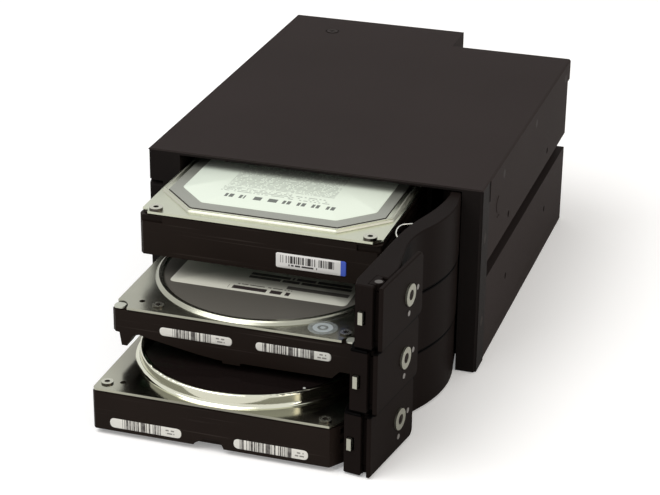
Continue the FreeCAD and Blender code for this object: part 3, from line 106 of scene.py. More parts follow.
def world():
    """White for what the camera and the reflections see, and soft light on the rest."""
    surroundings = bpy.data.worlds.new("studio")
    bpy.context.scene.world = surroundings
    surroundings.use_nodes = True
    tree = surroundings.node_tree
    tree.nodes.clear()
    output = tree.nodes.new("ShaderNodeOutputWorld")
    path = tree.nodes.new("ShaderNodeLightPath")
    seen = tree.nodes.new("ShaderNodeBackground")
    seen.inputs["Color"].default_value = (1, 1, 1, 1)
    seen.inputs["Strength"].default_value = 1.0
    lit = tree.nodes.new("ShaderNodeBackground")
    lit.inputs["Color"].default_value = (1.0, 0.985, 0.96, 1)
    lit.inputs["Strength"].default_value = 0.5
    mix = tree.nodes.new("ShaderNodeMixShader")
    mirrored = tree.nodes.new("ShaderNodeMath")
    mirrored.operation = "MAXIMUM"
    tree.links.new(path.outputs["Is Glossy Ray"], mirrored.inputs[0])
    tree.links.new(path.outputs["Is Transmission Ray"], mirrored.inputs[1])
    either = tree.nodes.new("ShaderNodeMath")
    either.operation = "MAXIMUM"
    tree.links.new(path.outputs["Is Camera Ray"], either.inputs[0])
    tree.links.new(mirrored.outputs[0], either.inputs[1])
    tree.links.new(either.outputs[0], mix.inputs[0])
    tree.links.new(lit.outputs[0], mix.inputs[1])
    tree.links.new(seen.outputs[0], mix.inputs[2])
    tree.links.new(mix.outputs[0], output.inputs["Surface"])


def lamp(name, place, aim, width, watts, tint=(1, 1, 1)):
    """A square soft lamp of that width in metres, at a place, facing another."""
    data = bpy.data.lights.new(name, "AREA")
    data.shape = "SQUARE"
    data.size = width
    data.energy = watts
    data.color = tint
    thing = bpy.data.objects.new(name, data)
    thing.location = place
    thing.rotation_mode = "QUATERNION"
    thing.rotation_quaternion = (Vector(aim) - Vector(place)).to_track_quat("-Z", "Y")
    bpy.context.scene.collection.objects.link(thing)


def ground():
    """A pale floor under the cage, a little brighter to the camera than its colour alone."""
    reach = FLOOR_HALF
    corners = [(-reach, -reach, FLOOR_LEVEL), (reach, -reach, FLOOR_LEVEL), (reach, reach, FLOOR_LEVEL),
               (-reach, reach, FLOOR_LEVEL)]
    mesh = bpy.data.meshes.new("floor")
    mesh.from_pydata(corners, [], [(0, 1, 2, 3)])
    floor = bpy.data.objects.new("floor", mesh)
    bpy.context.scene.collection.objects.link(floor)
    paper = Look("paper")
    seen = paper.node("ShaderNodeLightPath", output="Is Camera Ray")
    paper.set(Base_Color=paper.mix(paper.noise(3, 2), (0.93, 0.93, 0.93), (0.96, 0.96, 0.96)), Roughness=0.9,
              Emission_Color=paper.mix(seen, (0, 0, 0), (1, 1, 1)), Emission_Strength=0.22)
    mesh.materials.append(paper.material)


# ---- sums of shader values ----

class Value:
    """A number or colour inside a material, which adds, multiplies and compares like a plain number."""

    def __init__(self, look, socket):
        self.look = look
        self.socket = socket

    def sum_of(self, operation, *terms):
        return self.look.node("ShaderNodeMath", {"operation": operation}, dict(enumerate(terms)))

    def __add__(self, other):
        return self.sum_of("ADD", self, other)

    __radd__ = __add__

    def __sub__(self, other):
        return self.sum_of("SUBTRACT", self, other)

    def __rsub__(self, other):
        return self.sum_of("SUBTRACT", other, self)

    def __mul__(self, other):
        return self.sum_of("MULTIPLY", self, other)

    __rmul__ = __mul__

    def __truediv__(self, other):
        return self.sum_of("DIVIDE", self, other)

    def __gt__(self, other):
        return self.sum_of("GREATER_THAN", self, other)

    def __lt__(self, other):
        return self.sum_of("LESS_THAN", self, other)

    def floor(self):
        return self.sum_of("FLOOR", self)

    def fraction(self):
        return self.sum_of("FRACT", self)

    def root(self):
        return self.sum_of("SQRT", self)

    def most(self, other):
        return self.sum_of("MAXIMUM", self, other)

    def between(self, low, high):
        """1 from low to high and 0 outside."""
        return (self > low) * (self < high)


class Look:
    """A material under construction: its tree, its shader, and the places on the piece that it can read."""

    def __init__(self, name):
        self.material = bpy.data.materials.new(name)
        self.material.use_nodes = True
        self.tree = self.material.node_tree
        self.shader = self.tree.nodes["Principled BSDF"]
        self.point = self.node("ShaderNodeTexCoord", output="Object")

    def node(self, kind, settings=None, inputs=None, output=0):
        """A new node of that kind: its settings first, then its sockets, and the value that it gives."""
        made = self.tree.nodes.new(kind)
        for name, setting in (settings or {}).items():
            setattr(made, name, setting)
        for name, given in (inputs or {}).items():
            self.put(made.inputs[name], given)
        return Value(self, made.outputs[output])

    def put(self, socket, given):
        """A number or colour is set on the socket, and a value is linked to it."""
        if isinstance(given, Value):
            self.tree.links.new(given.socket, socket)
        else:
            socket.default_value = given

    def set(self, **given):
        for name, what in given.items():
            self.put(self.shader.inputs[name.replace("_", " ")], what)
        return self

    def noise(self, scale, detail=2.0, rough=0.5, stretch=(1, 1, 1)):
        """Cloudy noise from 0 to 1, with that many cells to a metre, drawn out along an axis by stretch."""
        place = self.node("ShaderNodeVectorMath", {"operation": "MULTIPLY"}, {0: self.point, 1: stretch})
        return self.node("ShaderNodeTexNoise", None,
                         {"Vector": place, "Scale": scale, "Detail": detail, "Roughness": rough})

    def axes(self, point=None):
        """The three numbers of a point."""
        parts = self.tree.nodes.new("ShaderNodeSeparateXYZ")
        self.put(parts.inputs[0], point or self.point)
        return [Value(self, parts.outputs[i]) for i in range(3)]

    def from_upright(self, centre):
        """Distance in metres from an upright line through a centre."""
        x, y, _ = self.axes()
        return ((x - centre.x) * (x - centre.x) + (y - centre.y) * (y - centre.y)).root()

    def print_place(self):
        """Across and up on a label, in millimetres from its middle."""
        place = self.node("ShaderNodeUVMap", {"uv_map": PRINT_MAP})
        across, up, _ = self.axes(place)
        return across / MM, up / MM

    def chance(self, cell):
        """A fixed random number from 0 to 1 for each whole number."""
        return self.node("ShaderNodeTexWhiteNoise", {"noise_dimensions": "1D"}, {"W": cell})

    def mix(self, share, first, second):
        """The first colour at share 0, and the second at share 1."""
        made = self.tree.nodes.new("ShaderNodeMix")
        made.data_type = "RGBA"
        for socket, given in ((0, share), (6, first), (7, second)):
            self.put(made.inputs[socket], given if isinstance(given, Value) or socket == 0 else (*given, 1))
        return Value(self, made.outputs[2])

    def ramp(self, value, low, high, start=0.0, end=1.0):
        """start below low, end above high, and evenly between."""
        return self.node("ShaderNodeMapRange", None, {0: value, 1: low, 2: high, 3: start, 4: end})

    def bump(self, height, depth):
        """A surface raised by height times depth in metres."""
        return self.node("ShaderNodeBump", None, {"Height": height, "Distance": depth, "Strength": 1.0})


# ---- print on labels ----

def bars(look, across, span, pitch, share=0.5):
    """Upright bars of chance widths between two places: cells of one pitch, each inked or bare."""
    cell = (across * (1 / pitch)).floor()
    return across.between(*span) * (look.chance(cell) < share)


def dashes(look, across, up, field, row, dash, share=0.7, fill=(0.25, 0.72)):
    """Rows of short dashes in a field (left, right, low, high); row and dash are their pitches."""
    left, right, low, high = field
    level = ((up - low) * (1 / row)).floor()
    in_row = ((up - low) * (1 / row)).fraction().between(*fill)
    cell = (across * (1 / dash) + level * 37.3).floor()
    inked = look.chance(cell + level * 11.7) < share
    return across.between(left, right) * up.between(low, high) * in_row * inked


def bar_marks(look, across, up, field, pitch):
    """A row of short upright bars in groups: each group is one thick bar or two thinner ones."""
    left, right, low, high = field
    cell = ((across - left) * (1 / pitch)).floor()
    place = ((across - left) * (1 / pitch)).fraction()
    wide = look.chance(cell + 3.0) * 0.25 + 0.5
    gap = place.between(0.3, 0.4) * (look.chance(cell + 9.0) > 0.4)
    return across.between(left, right) * up.between(low, high) * (place > 0.1) * (place < wide) * (1 - gap)


def patch(across, up, field):
    """A plain field (left, right, low, high)."""
    left, right, low, high = field
    return across.between(left, right) * up.between(low, high)


def paper_finish(name, paper, ink, inked, rough=0.45):
    """Label stock with printing where inked is 1."""
    look = Look(name)
    across, up = look.print_place()
    amount = inked(look, across, up)
    fibre = look.noise(1500, 2)
    tint = look.mix(look.ramp(fibre, 0.35, 0.65, 0.0, 0.35), paper, tuple(c * 0.94 for c in paper))
    look.set(Base_Color=look.mix(amount, tint, ink), Roughness=rough)
    return look


# ---- shapes ----

def piece(name, points, faces, material, body, prints=None):
    """A finished mesh object in place, with its finish, on its body; prints are the map's points."""
    mesh = bpy.data.meshes.new(name)
    mesh.from_pydata(points.tolist(), [], faces)
    if prints is not None:
        layer = mesh.uv_layers.new(name=PRINT_MAP)
        corners = np.empty(len(mesh.loops), np.int32)
        mesh.loops.foreach_get("vertex_index", corners)
        layer.data.foreach_set("uv", prints.astype(np.float32)[corners].ravel())
    mesh.shade_smooth()
    mesh.materials.append(material)
    thing = bpy.data.objects.new(name, mesh)
    bpy.context.scene.collection.objects.link(thing)
    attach(thing, body)


def grid_faces(rings, count, joined=False):
    """Four-sided faces between each ring of points and the next; joined ties the last to the first.

    Face (i, k) has the points i n + k, i n + k', i' n + k' and i' n + k, where n is the count,
    i' is the next ring and k' the next point round the ring.
    """
    ring = np.arange(rings if joined else rings - 1)[:, None]
    k = np.arange(count)
    near, far, after = ring * count, (ring + 1) % rings * count, (k + 1) % count
    return np.stack([near + k, near + after, far + after, far + k], -1).reshape(-1, 4).tolist()


def rounded_outline(corners, radius, steps=6):
    """A polygon turned anticlockwise with each corner rounded.

    At a corner P, A and B are the points a radius away along the two sides, and the curve is
    (1 - s)^2 A + 2 s (1 - s) P + s^2 B for s from 0 to 1.
    """
    corners = np.array(corners, float)
    before, after = np.roll(corners, 1, 0) - corners, np.roll(corners, -1, 0) - corners
    start = corners + before / np.linalg.norm(before, axis=1, keepdims=True) * radius
    end = corners + after / np.linalg.norm(after, axis=1, keepdims=True) * radius
    s = np.linspace(0, 1, steps)[:, None]
    curves = (1 - s) ** 2 * start[:, None] + 2 * s * (1 - s) * corners[:, None] + s ** 2 * end[:, None]
    return curves.reshape(-1, 2)


def round_outline(radius, steps=48):
    """A circle: radius times (cosine, sine) of equal turns."""
    turn = np.arange(steps) / steps * 2 * math.pi
    return radius * np.stack([np.cos(turn), np.sin(turn)], 1)


def box_corners(width, height):
    """The corners of a rectangle about its middle, anticlockwise."""
    across, up = width / 2, height / 2
    return [(-across, -up), (across, -up), (across, up), (-across, up)]


def sticker(name, ring, middle, across, up, material, body, thick=0.12 * MM, sunk=0.03 * MM):
    """A thin label with a rounded edge.

    Its outline runs about the middle in the directions across and up. Rings of that outline,
    each (share of full size, height above the ground), climb the edge and close over the face.
    """
    middle, across, up = (np.array(v, float) for v in (middle, across, up))
    out = np.cross(across, up)
    edge = 0.5 * thick / np.abs(ring).max(0).min()
    levels = np.array([(1.0, -sunk), (1.0, thick * 0.6), (1 - edge, thick), (0.5, thick)])
    count, last, tip = len(ring), (len(levels) - 1) * len(ring), len(levels) * len(ring)
    flat = levels[:, :1, None] * ring
    high = np.broadcast_to(levels[:, 1:, None], (len(levels), count, 1))
    points = middle + np.concatenate([flat, high], -1).reshape(-1, 3) @ np.array([across, up, out])
    k = np.arange(count)
    fan = np.stack([last + k, last + (k + 1) % count, np.full(count, tip)], -1).tolist()
    faces = grid_faces(len(levels), count) + fan + [k[::-1].tolist()]
    piece(name, np.vstack([points, middle + out * thick]), faces, material, body,
          np.vstack([flat.reshape(-1, 2), (0, 0)]))


def tube(name, route, radius, material, body, sides=10, steps=8):
    """A round strand along a smooth route through chosen points.

    Between two points the route is the cubic that passes both with the slopes of their
    neighbours; about it stand circles in the plane across the route, closed by flat ends.
    """
    stops = np.array(route, float)
    stops = np.vstack([stops[0] * 2 - stops[1], stops, stops[-1] * 2 - stops[-2]])
    a, b, c, d = (stops[k:len(stops) - 3 + k, None] for k in range(4))
    s = np.linspace(0, 1, steps, endpoint=False)[:, None]
    bend, twist = 2 * a - 5 * b + 4 * c - d, 3 * b - a - 3 * c + d
    curve = 0.5 * (2 * b + (c - a) * s + bend * s ** 2 + twist * s ** 3)
    line = np.vstack([curve.reshape(-1, 3), stops[-2]])
    padded = np.vstack([line[0], line, line[-1]])
    heading = padded[2:] - padded[:-2]
    heading /= np.linalg.norm(heading, axis=1, keepdims=True)
    side, sideways = np.array((0.0, 0.0, 1.0)), []
    for ahead in heading:
        side = side - ahead * (side @ ahead)
        side = side / np.linalg.norm(side)
        sideways.append(side)
    sideways = np.array(sideways)
    other = np.cross(heading, sideways)
    turn = (2 * math.pi * np.arange(sides) / sides)[:, None]
    points = line[:, None] + (sideways[:, None] * np.cos(turn) + other[:, None] * np.sin(turn)) * radius
    first = np.arange(sides)
    ends = [first[::-1].tolist(), ((len(line) - 1) * sides + first).tolist()]
    piece(name, points.reshape(-1, 3), grid_faces(len(line), sides) + ends, material, body)


# ---- where the drives lie ----

RIGHT = (1, 0, 0)
BACK = (0, 1, 0)
UP = (0, 0, 1)


class Drive:
    """Where one drive lies: places count from the middle of its front, level with its lid's underside."""

    def __init__(self, number):
        self.number = number
        self.body = f"drive_{number}"
        low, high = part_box(f"drive_{number}_cover")
        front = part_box(f"drive_{number}_casting")[0].y
        self.origin = Vector(((low.x + high.x) / 2, front, low.z))
        self.top = high.z

    def at(self, across, back, high):
        """A place in millimetres to the right, back and up."""
        return self.origin + Vector((across, back, high)) * MM

    def front_label(self, name, span, middle, height, material):
        """A label with round ends on the front wall between two places."""
        width = (span[1] - span[0]) * MM
        ring = rounded_outline(box_corners(width, height * MM), height / 2 * MM * 0.98, 8)
        sticker(f"drive_{self.number}_{name}", ring, self.at(sum(span) / 2, 0, middle), RIGHT, UP,
                material, self.body)


# ---- finishes ----

def powder_coat():
    """Dark satin powder coat with a fine pebbled skin."""
    look = Look("powder_coat")
    cloud = look.noise(14, 3)
    grain = look.noise(2600, 2)
    look.set(Base_Color=look.mix(cloud, (0.030, 0.0245, 0.0235), (0.037, 0.030, 0.0290)),
             Roughness=look.ramp(grain, 0.3, 0.7, 0.44, 0.56),
             Normal=look.bump(grain, 0.00004), Specular_IOR_Level=0.005)
    return look.material


def moulded(name, dark, light, rough, shade=None):
    """Moulded plastic with a faint texture; shade gives 1 where painted shade makes it darkest."""
    look = Look(name)
    cloud = look.noise(25, 2)
    grain = look.noise(3200, 2)
    tint = look.mix(cloud, dark, light)
    # painted shade: the plastic turns near black where shade gives 1
    if shade:
        tint = look.mix(shade(look), tint, (0.001, 0.0008, 0.0008))
    look.set(Base_Color=tint, Roughness=look.ramp(grain, 0.3, 0.7, rough - 0.05, rough + 0.06),
             Normal=look.bump(grain, 0.00003), Specular_IOR_Level=0.012)
    return look.material


def hollow_painted_shade(look):
    """Painted shade in the finger recess between the gooseneck arms and the rear edges of their handle
    plates.
    """
    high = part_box("door_1_handle")[1]
    middle = Vector((high.x - HOLLOW_INSET * MM, high.y + HOLLOW_BEHIND * MM, 0))
    below_top = look.axes()[2] < high.z - 0.5 * MM
    return look.ramp(look.from_upright(middle), 4 * MM, 10 * MM, 0.9, 0.0) * below_top


def seam_painted_shade(look):
    """Painted shade at the ends where one door meets the next, on its arm and its handle plate."""
    bottom, middle = (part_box(f"door_{n}_handle")[0].z for n in (3, 2))
    high = look.axes()[2]
    share = ((high - bottom) * (1 / (middle - bottom))).fraction()
    inner = high.between(bottom + 2 * MM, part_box("door_1_handle")[1].z - 2 * MM)
    return (share < 0.032).most(share > 0.95) * inner


def coated_casting():
    """Die-cast aluminium under a thin dark coat, with bare machined pads at the lid's level."""
    look = Look("coated_casting")
    cloud = look.noise(30, 4)
    grain = look.noise(1800, 3)
    pads = Drive(2).origin
    _, y, z = look.axes()
    bare = z.between(pads.z + 0.02 * MM, pads.z + 2 * MM) * (y < pads.y + 5 * MM)
    scuffs = look.ramp(look.noise(1400, 1, 0.5, (0.012, 1, 1)), 0.68, 0.74, 0.0, 0.5)
    coat = look.mix(cloud, (0.010, 0.0067, 0.0052), (0.016, 0.0107, 0.0084))
    look.set(Base_Color=look.mix(bare, look.mix(scuffs, coat, (0.045, 0.036, 0.031)), (0.50, 0.51, 0.44)),
             Roughness=look.ramp(grain, 0.3, 0.7, 0.38, 0.55), Metallic=bare,
             Normal=look.bump(grain, 0.00003), Specular_IOR_Level=0.05)
    return look.material


def satin_metal(name, colour, rough):
    """Bright metal with a soft even grain."""
    look = Look(name)
    grain = look.noise(900, 3, 0.6)
    cloud = look.noise(20, 2)
    tint = tuple(c * 0.86 for c in colour)
    look.set(Base_Color=look.mix(cloud, tint, colour),
             Roughness=look.ramp(grain, 0.3, 0.7, rough - 0.04, rough + 0.06),
             Normal=look.bump(grain, 0.00001), Metallic=1.0)
    return look.material


def board_green():
    """Green solder mask with paler copper tracks under it."""
    look = Look("board_green")
    tracks = look.noise(700, 1, 0.5, (1, 0.15, 0.15))
    look.set(Base_Color=look.mix(look.ramp(tracks, 0.52, 0.56), (0.006, 0.045, 0.02), (0.012, 0.08, 0.035)),
             Roughness=0.35)
    return look.material


def lamp_plastic():
    """Clear white plastic of the light pipes."""
    look = Look("lamp_plastic")
    cloud = look.noise(800, 2)
    look.set(Base_Color=look.mix(cloud, (0.13, 0.12, 0.11), (0.18, 0.17, 0.16)), Roughness=0.3)
    return look.material


def lid_metal(name, colour, rough, *regions):
    """Rolled lid metal; a region is (where it is 1, its colour, metallic share and roughness)."""
    look = Look(name)
    cloud = look.noise(60, 3)
    grain = look.noise(3500, 2)
    tint = look.mix(cloud, tuple(c * 0.9 for c in colour), colour)
    polish = look.ramp(grain, 0.3, 0.7, rough - 0.02, rough + 0.03)
    dull = []
    for where, region_colour, share, region_rough in regions:
        region = where(look)
        tint = look.mix(region, tint, region_colour)
        polish = polish + region * (region_rough - rough)
        dull.append(region * (1.0 - share))
    metallic = 1.0 - sum(dull[1:], dull[0])
    look.set(Base_Color=tint, Metallic=metallic, Roughness=polish, Normal=look.bump(grain, 0.000002))
    return look.material


def screw_with_painted_shade(name, bright):
    """Steel heads in their own colour on top, with painted shade below: the flanks and sockets are coloured
    dark.
    """
    look = Look(name)
    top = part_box(name)[1].z
    grain = look.noise(1500, 2)
    # painted shade: all but the top face of each head is coloured dark
    head = look.axes()[2] > top - SCREW_TOP * MM
    look.set(Base_Color=look.mix(head, (0.07, 0.062, 0.055), bright), Metallic=1.0,
             Roughness=look.ramp(grain, 0.3, 0.7, 0.22, 0.34), Normal=look.bump(grain, 0.000004))
    return look.material


def cover_finishes():
    """The lids: cream with a grey damping plate, satin with a duller dish, polished with a dark disc. On the
    polished lid the dark disc and a darker ring round the dome's foot are painted reflection of the dark
    drive above it, and the dome's bright wall is a painted highlight.
    """
    top, middle, bottom = (Drive(n) for n in (1, 2, 3))
    dish, dome = middle.at(0, LID_CENTRE, 0), bottom.at(0, LID_CENTRE, 0)

    def plate(look):
        return look.axes()[2] > top.top - PLATE_EDGE * MM

    def plate_edge(look):
        return look.axes()[2].between(top.top - 0.34 * MM, top.top - PLATE_EDGE * MM)

    def dish_floor(look):
        return (look.from_upright(dish) < DISC_RADIUS * MM) * (look.axes()[2] < middle.top - 0.3 * MM)

    # painted reflection: the top of the dome is coloured near black for the dark drive above that it mirrors
    def disc(look):
        return (look.from_upright(dome) < DISC_RADIUS * MM) * (look.axes()[2] > bottom.top - 1.0 * MM)

    # painted reflection: the lid is coloured darker towards the dome's foot, for the dark drive that it
    # mirrors
    def dome_foot_painted_reflection(look):
        return look.ramp(look.from_upright(dome), 50 * MM, 64 * MM, 1.0, 0.0)

    # painted highlight: the dome's wall is coloured brighter than the lid
    def dome_wall_painted_highlight(look):
        return look.from_upright(dome).between(DISC_RADIUS * MM, RIM_RADIUS * MM)

    return {
        "drive_1_cover": lid_metal("lid_cream", (0.58, 0.60, 0.48), 0.30,
                                   (plate, (0.33, 0.34, 0.30), 0.6, 0.45),
                                   (plate_edge, (0.05, 0.05, 0.04), 0.6, 0.5)),
        "drive_2_cover": lid_metal("lid_satin", (0.38, 0.38, 0.31), 0.24,
                                   (dish_floor, (0.13, 0.122, 0.105), 0.4, 0.5)),
        "drive_3_cover": lid_metal("lid_polished", (0.42, 0.42, 0.34), 0.20,
                                   (dome_foot_painted_reflection, (0.26, 0.255, 0.21), 1.0, 0.12),
                                   (disc, (0.020, 0.014, 0.013), 0.5, 0.16),
                                   (dome_wall_painted_highlight, (0.68, 0.68, 0.56), 1.0, 0.18)),
    }


def plastic(name, dark, light, rough, shade=None):
    """A moulded finish, made only once the frame asks for its slot."""
    return lambda: moulded(name, dark, light, rough, shade)


def hollow_and_seam_painted_shade(look):
    """Where painted shade darkens a door's arm most, in its finger recess and at its ends."""
    return hollow_painted_shade(look).most(seam_painted_shade(look))


FINISHES = {
    "case_paint": powder_coat,
    "bezel_plastic": plastic("bezel_black", (0.010, 0.008, 0.008), (0.014, 0.012, 0.011), 0.42),
    # the door arms carry painted shade in their finger recesses and at their ends, the handle plates at their
    # ends
    "door_plastic": plastic("door_black", (0.0085, 0.0062, 0.0056), (0.0115, 0.0084, 0.0075), 0.42,
                            hollow_and_seam_painted_shade),
    "handle_plastic": plastic("handle_black", (0.0090, 0.0064, 0.0057), (0.0122, 0.0088, 0.0078), 0.44,
                              seam_painted_shade),
    "guide_plastic": plastic("guide_black", (0.010, 0.008, 0.008), (0.014, 0.012, 0.011), 0.45),
    "connector_plastic": plastic("connector_black", (0.012, 0.012, 0.013), (0.018, 0.018, 0.019), 0.40),
    "fan_plastic": plastic("fan_black", (0.014, 0.014, 0.015), (0.021, 0.021, 0.022), 0.45),
    "drive_casting": coated_casting,
    "drive_cover": lambda: satin_metal("cover_metal", (0.56, 0.56, 0.46), 0.25),
    "bright_steel": lambda: satin_metal("bright_steel", (0.44, 0.44, 0.37), 0.30),
    "dark_steel": plastic("black_oxide", (0.028, 0.023, 0.022), (0.036, 0.030, 0.028), 0.42),
    "circuit_board": board_green,
    "lamp_plastic": lamp_plastic,
}


def dress_frame():
    """Every CAD node takes the finish of its own name, or of the slot that the record gives it."""
    slots = {part["node"]: part["material_slot"] for part in frame["record"]["subparts"]}
    made = {slot: FINISHES[slot]() for slot in sorted(set(slots.values()))}
    own = cover_finishes()
    pin = satin_metal("pin_grey", (0.12, 0.11, 0.10), 0.4)
    ring = satin_metal("ring_cream", (0.38, 0.38, 0.31), 0.35)
    for number in (1, 2, 3):
        own |= {f"door_{number}_handle_pin": pin, f"door_{number}_lock_ring": ring}
        own[f"drive_{number}_screws"] = screw_with_painted_shade(f"drive_{number}_screws", (0.52, 0.52, 0.44))
    for name, node in frame["nodes"].items():
        node.data.materials.clear()
        node.data.materials.append(own.get(name) or made[slots[name]])


# ---- labels on the drives ----

def code_label(name, width, coded, small):
    """A slim label: bars, then a few dashes near its right end; each span is two shares of the width."""
    def inked(look, across, up):
        left = -width / 2
        marks = bars(look, across, (left + coded[0] * width, left + coded[1] * width), 0.34, 0.55)
        marks = marks * look.ramp(look.noise(700, 1), 0.3, 0.7, 0.75, 1.0)
        field = (left + small[0] * width, left + small[1] * width, -1.3, 1.3)
        return marks.most(dashes(look, across, up, field, 1.3, 0.45, 0.6) * 0.75)
    return paper_finish(name, (0.72, 0.71, 0.66), (0.035, 0.028, 0.026), inked).material


def barcode_label():
    """The broad label of the top drive: two groups of bars over a row of dashes, and a blue end."""
    look = Look("barcode_label")
    across, up = look.print_place()
    tall = up.between(-0.9, 2.3)
    marks = bars(look, across, (-12.8, -11.2), 0.32, 0.5) * 0.7 * tall
    marks = marks.most(bars(look, across, (-10.8, 9.6), 0.36, 0.52) * tall)
    marks = marks.most(dashes(look, across, up, (-9.6, 2.6, -2.5, -1.3), 1.6, 0.55, 0.7))
    colour = look.mix(marks, (0.80, 0.79, 0.77), (0.03, 0.025, 0.025))
    look.set(Base_Color=look.mix(across > 12.3, colour, (0.045, 0.11, 0.62)), Roughness=0.4)
    return look.material


def top_label_print():
    """Grey rows of dashes and one row of short dark bars on greenish white."""
    def inked(look, across, up):
        text = dashes(look, across, up, (-25.0, 21.0, -30.0, 10.0), 1.3, 0.6, 0.75) * 0.42
        text = text.most(dashes(look, across, up, (-26.0, 4.0, -36.0, -31.0), 1.4, 0.7, 0.65) * 0.5)
        text = text.most(dashes(look, across, up, (3.0, 21.0, -37.0, -31.5), 1.7, 0.9, 0.55) * 0.5)
        return text.most(bar_marks(look, across, up, (-23.0, 26.6, -41.8, -38.4), 6.2) * 0.9)
    return paper_finish("top_label_paper", (0.78, 0.86, 0.75), (0.05, 0.055, 0.05), inked).material


def dish_label_print():
    """Greyish label of the middle drive: dark rows of blocks and a line of bolder dashes."""
    def inked(look, across, up):
        marks = dashes(look, across, up, (-8.0, 35.5, -21.0, -15.0), 3.0, 0.9, 0.92, (0.12, 0.86)) * 0.9
        marks = marks.most(patch(across, up, (10.0, 36.0, -26.4, -23.4)) * 0.85)
        marks = marks.most(dashes(look, across, up, (-13.0, 13.0, -33.2, -28.6), 4.6, 1.6, 0.85, (0.2, 0.85)))
        return marks.most(dashes(look, across, up, (-10.0, 13.0, -28.2, -26.6), 1.6, 0.7, 0.7) * 0.8)
    return paper_finish("dish_label_paper", (0.60, 0.60, 0.52), (0.03, 0.022, 0.022), inked, 0.35).material


def clear_disc_finish():
    """Milky clear film with a denser ring and middle."""
    look = Look("clear_film")
    across, up = look.print_place()
    far = (across * across + up * up).root()
    dense = far.between(2.2, 4.0).most(far < 1.0)
    look.set(Base_Color=look.mix(dense, (0.42, 0.46, 0.46), (0.62, 0.68, 0.70)), Roughness=0.25,
             Alpha=look.ramp(dense, 0, 1, 0.4, 0.65))
    return look.material


def label_drives():
    """The labels of the three drives."""
    top, middle, bottom = (Drive(n) for n in (1, 2, 3))
    ring = rounded_outline(box_corners(29.2 * MM, 6.4 * MM), 0.9 * MM)
    sticker("drive_1_barcode", ring, top.at(22.1, 0, -12.1), RIGHT, UP, barcode_label(), top.body)

    front, corner, half, rear = 12.0, 13.0, 41.6, 114.0
    corners = [(-half + corner, front), (half - corner, front), (half, front + corner), (half, rear - corner),
               (half - corner, rear), (-half + corner, rear), (-half, rear - corner), (-half, front + corner)]
    flat = [(x * MM, (y - LABEL_MIDDLE) * MM) for x, y in corners]
    place = top.at(0, LABEL_MIDDLE, 0)
    place.z = top.top
    sticker("drive_1_label", rounded_outline(flat, 1.2 * MM), place, RIGHT, BACK, top_label_print(), top.body)

    slim = code_label("slim_label_bare", 30.3, (0.18, 0.72), (0.78, 0.9))
    slim_full = code_label("slim_label_full", 30.8, (0.08, 0.78), (0.82, 0.94))
    middle.front_label("label_left", (-30.5, -0.2), -7.0, 3.6, slim)
    middle.front_label("label_right", (9.6, 40.4), -7.0, 3.6, slim_full)
    bottom.front_label("label_left", (-43.5, -13.6), -13.2, 4.1, slim)
    bottom.front_label("label_right", (8.1, 38.3), -13.2, 4.1, slim_full)

    sheet = rounded_outline(box_corners(75 * MM, 68 * MM), 2.5 * MM)
    floor_high = middle.at(0, 61.4, 1.7)
    sticker("drive_2_label", sheet, floor_high, RIGHT, BACK, dish_label_print(), middle.body)
    sticker("drive_2_seal", round_outline(5.9 * MM), middle.at(34.3, 8.2, 1.0), RIGHT, BACK,
            clear_disc_finish(), middle.body)


# ---- small pieces ----

def octagon(inset, corner, start, grow=0.0):
    """A lid's raised octagon in millimetres, anticlockwise, moved outwards by an amount.

    Moved outwards by g, a side of the lid goes g outwards and each cut corner's leg grows by
    (2 - root 2) g, so all eight edges keep the same distance.
    """
    half = LID_WIDTH / 2 - inset + grow
    near, far = start + inset - grow, LID_LENGTH - inset + grow
    leg = corner + (2 - math.sqrt(2)) * grow
    return [(-half + leg, near), (half - leg, near), (half, near + leg), (half, far - leg),
            (half - leg, far), (-half + leg, far), (-half, far - leg), (-half, near + leg)]


def pressed_band(name, drive, shape, section, material):
    """A closed band round an octagon; the section's points are (growth, height over the casting)."""
    flat = np.array([rounded_outline(octagon(*shape, grow), 1.0) for grow, _ in section])
    high = np.array(section)[:, 1:, None]
    local = np.concatenate([flat, np.broadcast_to(high, (*flat.shape[:2], 1))], -1)
    points = np.array(drive.origin) + local.reshape(-1, 3) * MM
    piece(name, points, grid_faces(len(section), flat.shape[1], True), material, drive.body)


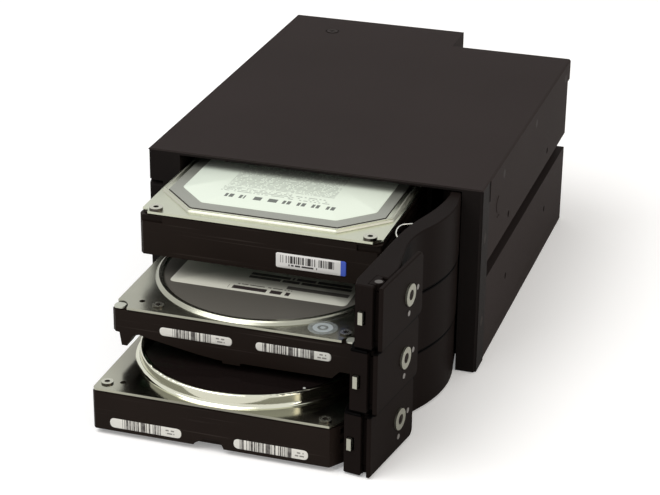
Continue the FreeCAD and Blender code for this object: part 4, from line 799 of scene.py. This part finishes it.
def lid_pressings():
    """The sloped skirt of the top lid, the dark seam round its plate, and a balance mark."""
    top, bottom = Drive(1), Drive(3)
    edge = satin_metal("pressed_edge", (0.52, 0.52, 0.44), 0.5)
    seam = satin_metal("seam_black", (0.05, 0.045, 0.04), 0.5)
    skirt = [(0.7, 0.96), (0.66, 1.08), (-0.25, 2.26), (-0.5, 2.31), (-0.9, 2.28), (-0.9, 2.1)]
    pressed_band("drive_1_skirt", top, (1.8, 17.8, 2.9), skirt, edge)
    groove = [(0.32, 2.12), (0.32, 2.24), (0.2, 2.27), (0.02, 2.27), (-0.1, 2.12)]
    pressed_band("drive_1_seam", top, (4.6, 15.3, 1.5), groove, seam)
    dot = bottom.at(31.0, 17.2, 0)
    dot.z = bottom.top - 0.1 * MM
    white = Look("mark_white")
    white.set(Base_Color=white.mix(white.noise(900, 1), (0.7, 0.7, 0.66), (0.8, 0.8, 0.76)), Roughness=0.5)
    sticker("drive_3_mark", round_outline(0.55 * MM, 24), dot, RIGHT, BACK, white.material, bottom.body,
            0.08 * MM)


def door_spring():
    """The thin wire loop that stands out of the top door's inner side."""
    bend = [(52.4, -52.0, 79.4), (51.3, -50.0, 79.6), (49.6, -46.6, 79.8), (48.8, -41.8, 79.8),
            (49.5, -37.9, 79.8), (51.8, -35.9, 79.7), (53.9, -34.8, 79.6), (55.2, -34.2, 79.4)]
    route = [Vector((x, y + CASE_FRONT, z)) * MM for x, y, z in bend]
    wire = satin_metal("spring_wire", (0.78, 0.78, 0.72), 0.3)
    tube("door_1_spring", route, 0.25 * MM, wire, "door_1")


def side_marks():
    """Two small raised arcs on the right side sheet, near the front."""
    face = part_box("right_side")[1].x
    for name, radius, start, end in (("side_mark_upper", 3.6, 95, 255), ("side_mark_lower", 5.6, 250, 285)):
        turns = np.radians(np.linspace(start, end, 7))
        route = [Vector((face + 0.02 * MM, (31.5 + CASE_FRONT + radius * math.cos(t)) * MM,
                         (64.2 + radius * math.sin(t)) * MM)) for t in turns]
        tube(name, route, 0.3 * MM, bpy.data.materials["powder_coat"], "cage")


studio()
world()
lamp("key", (-0.65, -0.75, 1.6), (0, 0, 0.03), 1.4, 21)
lamp("side", (1.6, -0.6, 0.9), (0, 0, 0.03), 1.0, 8, (1, 0.9, 0.78))
dress_frame()
label_drives()
lid_pressings()
door_spring()
side_marks()
ground()
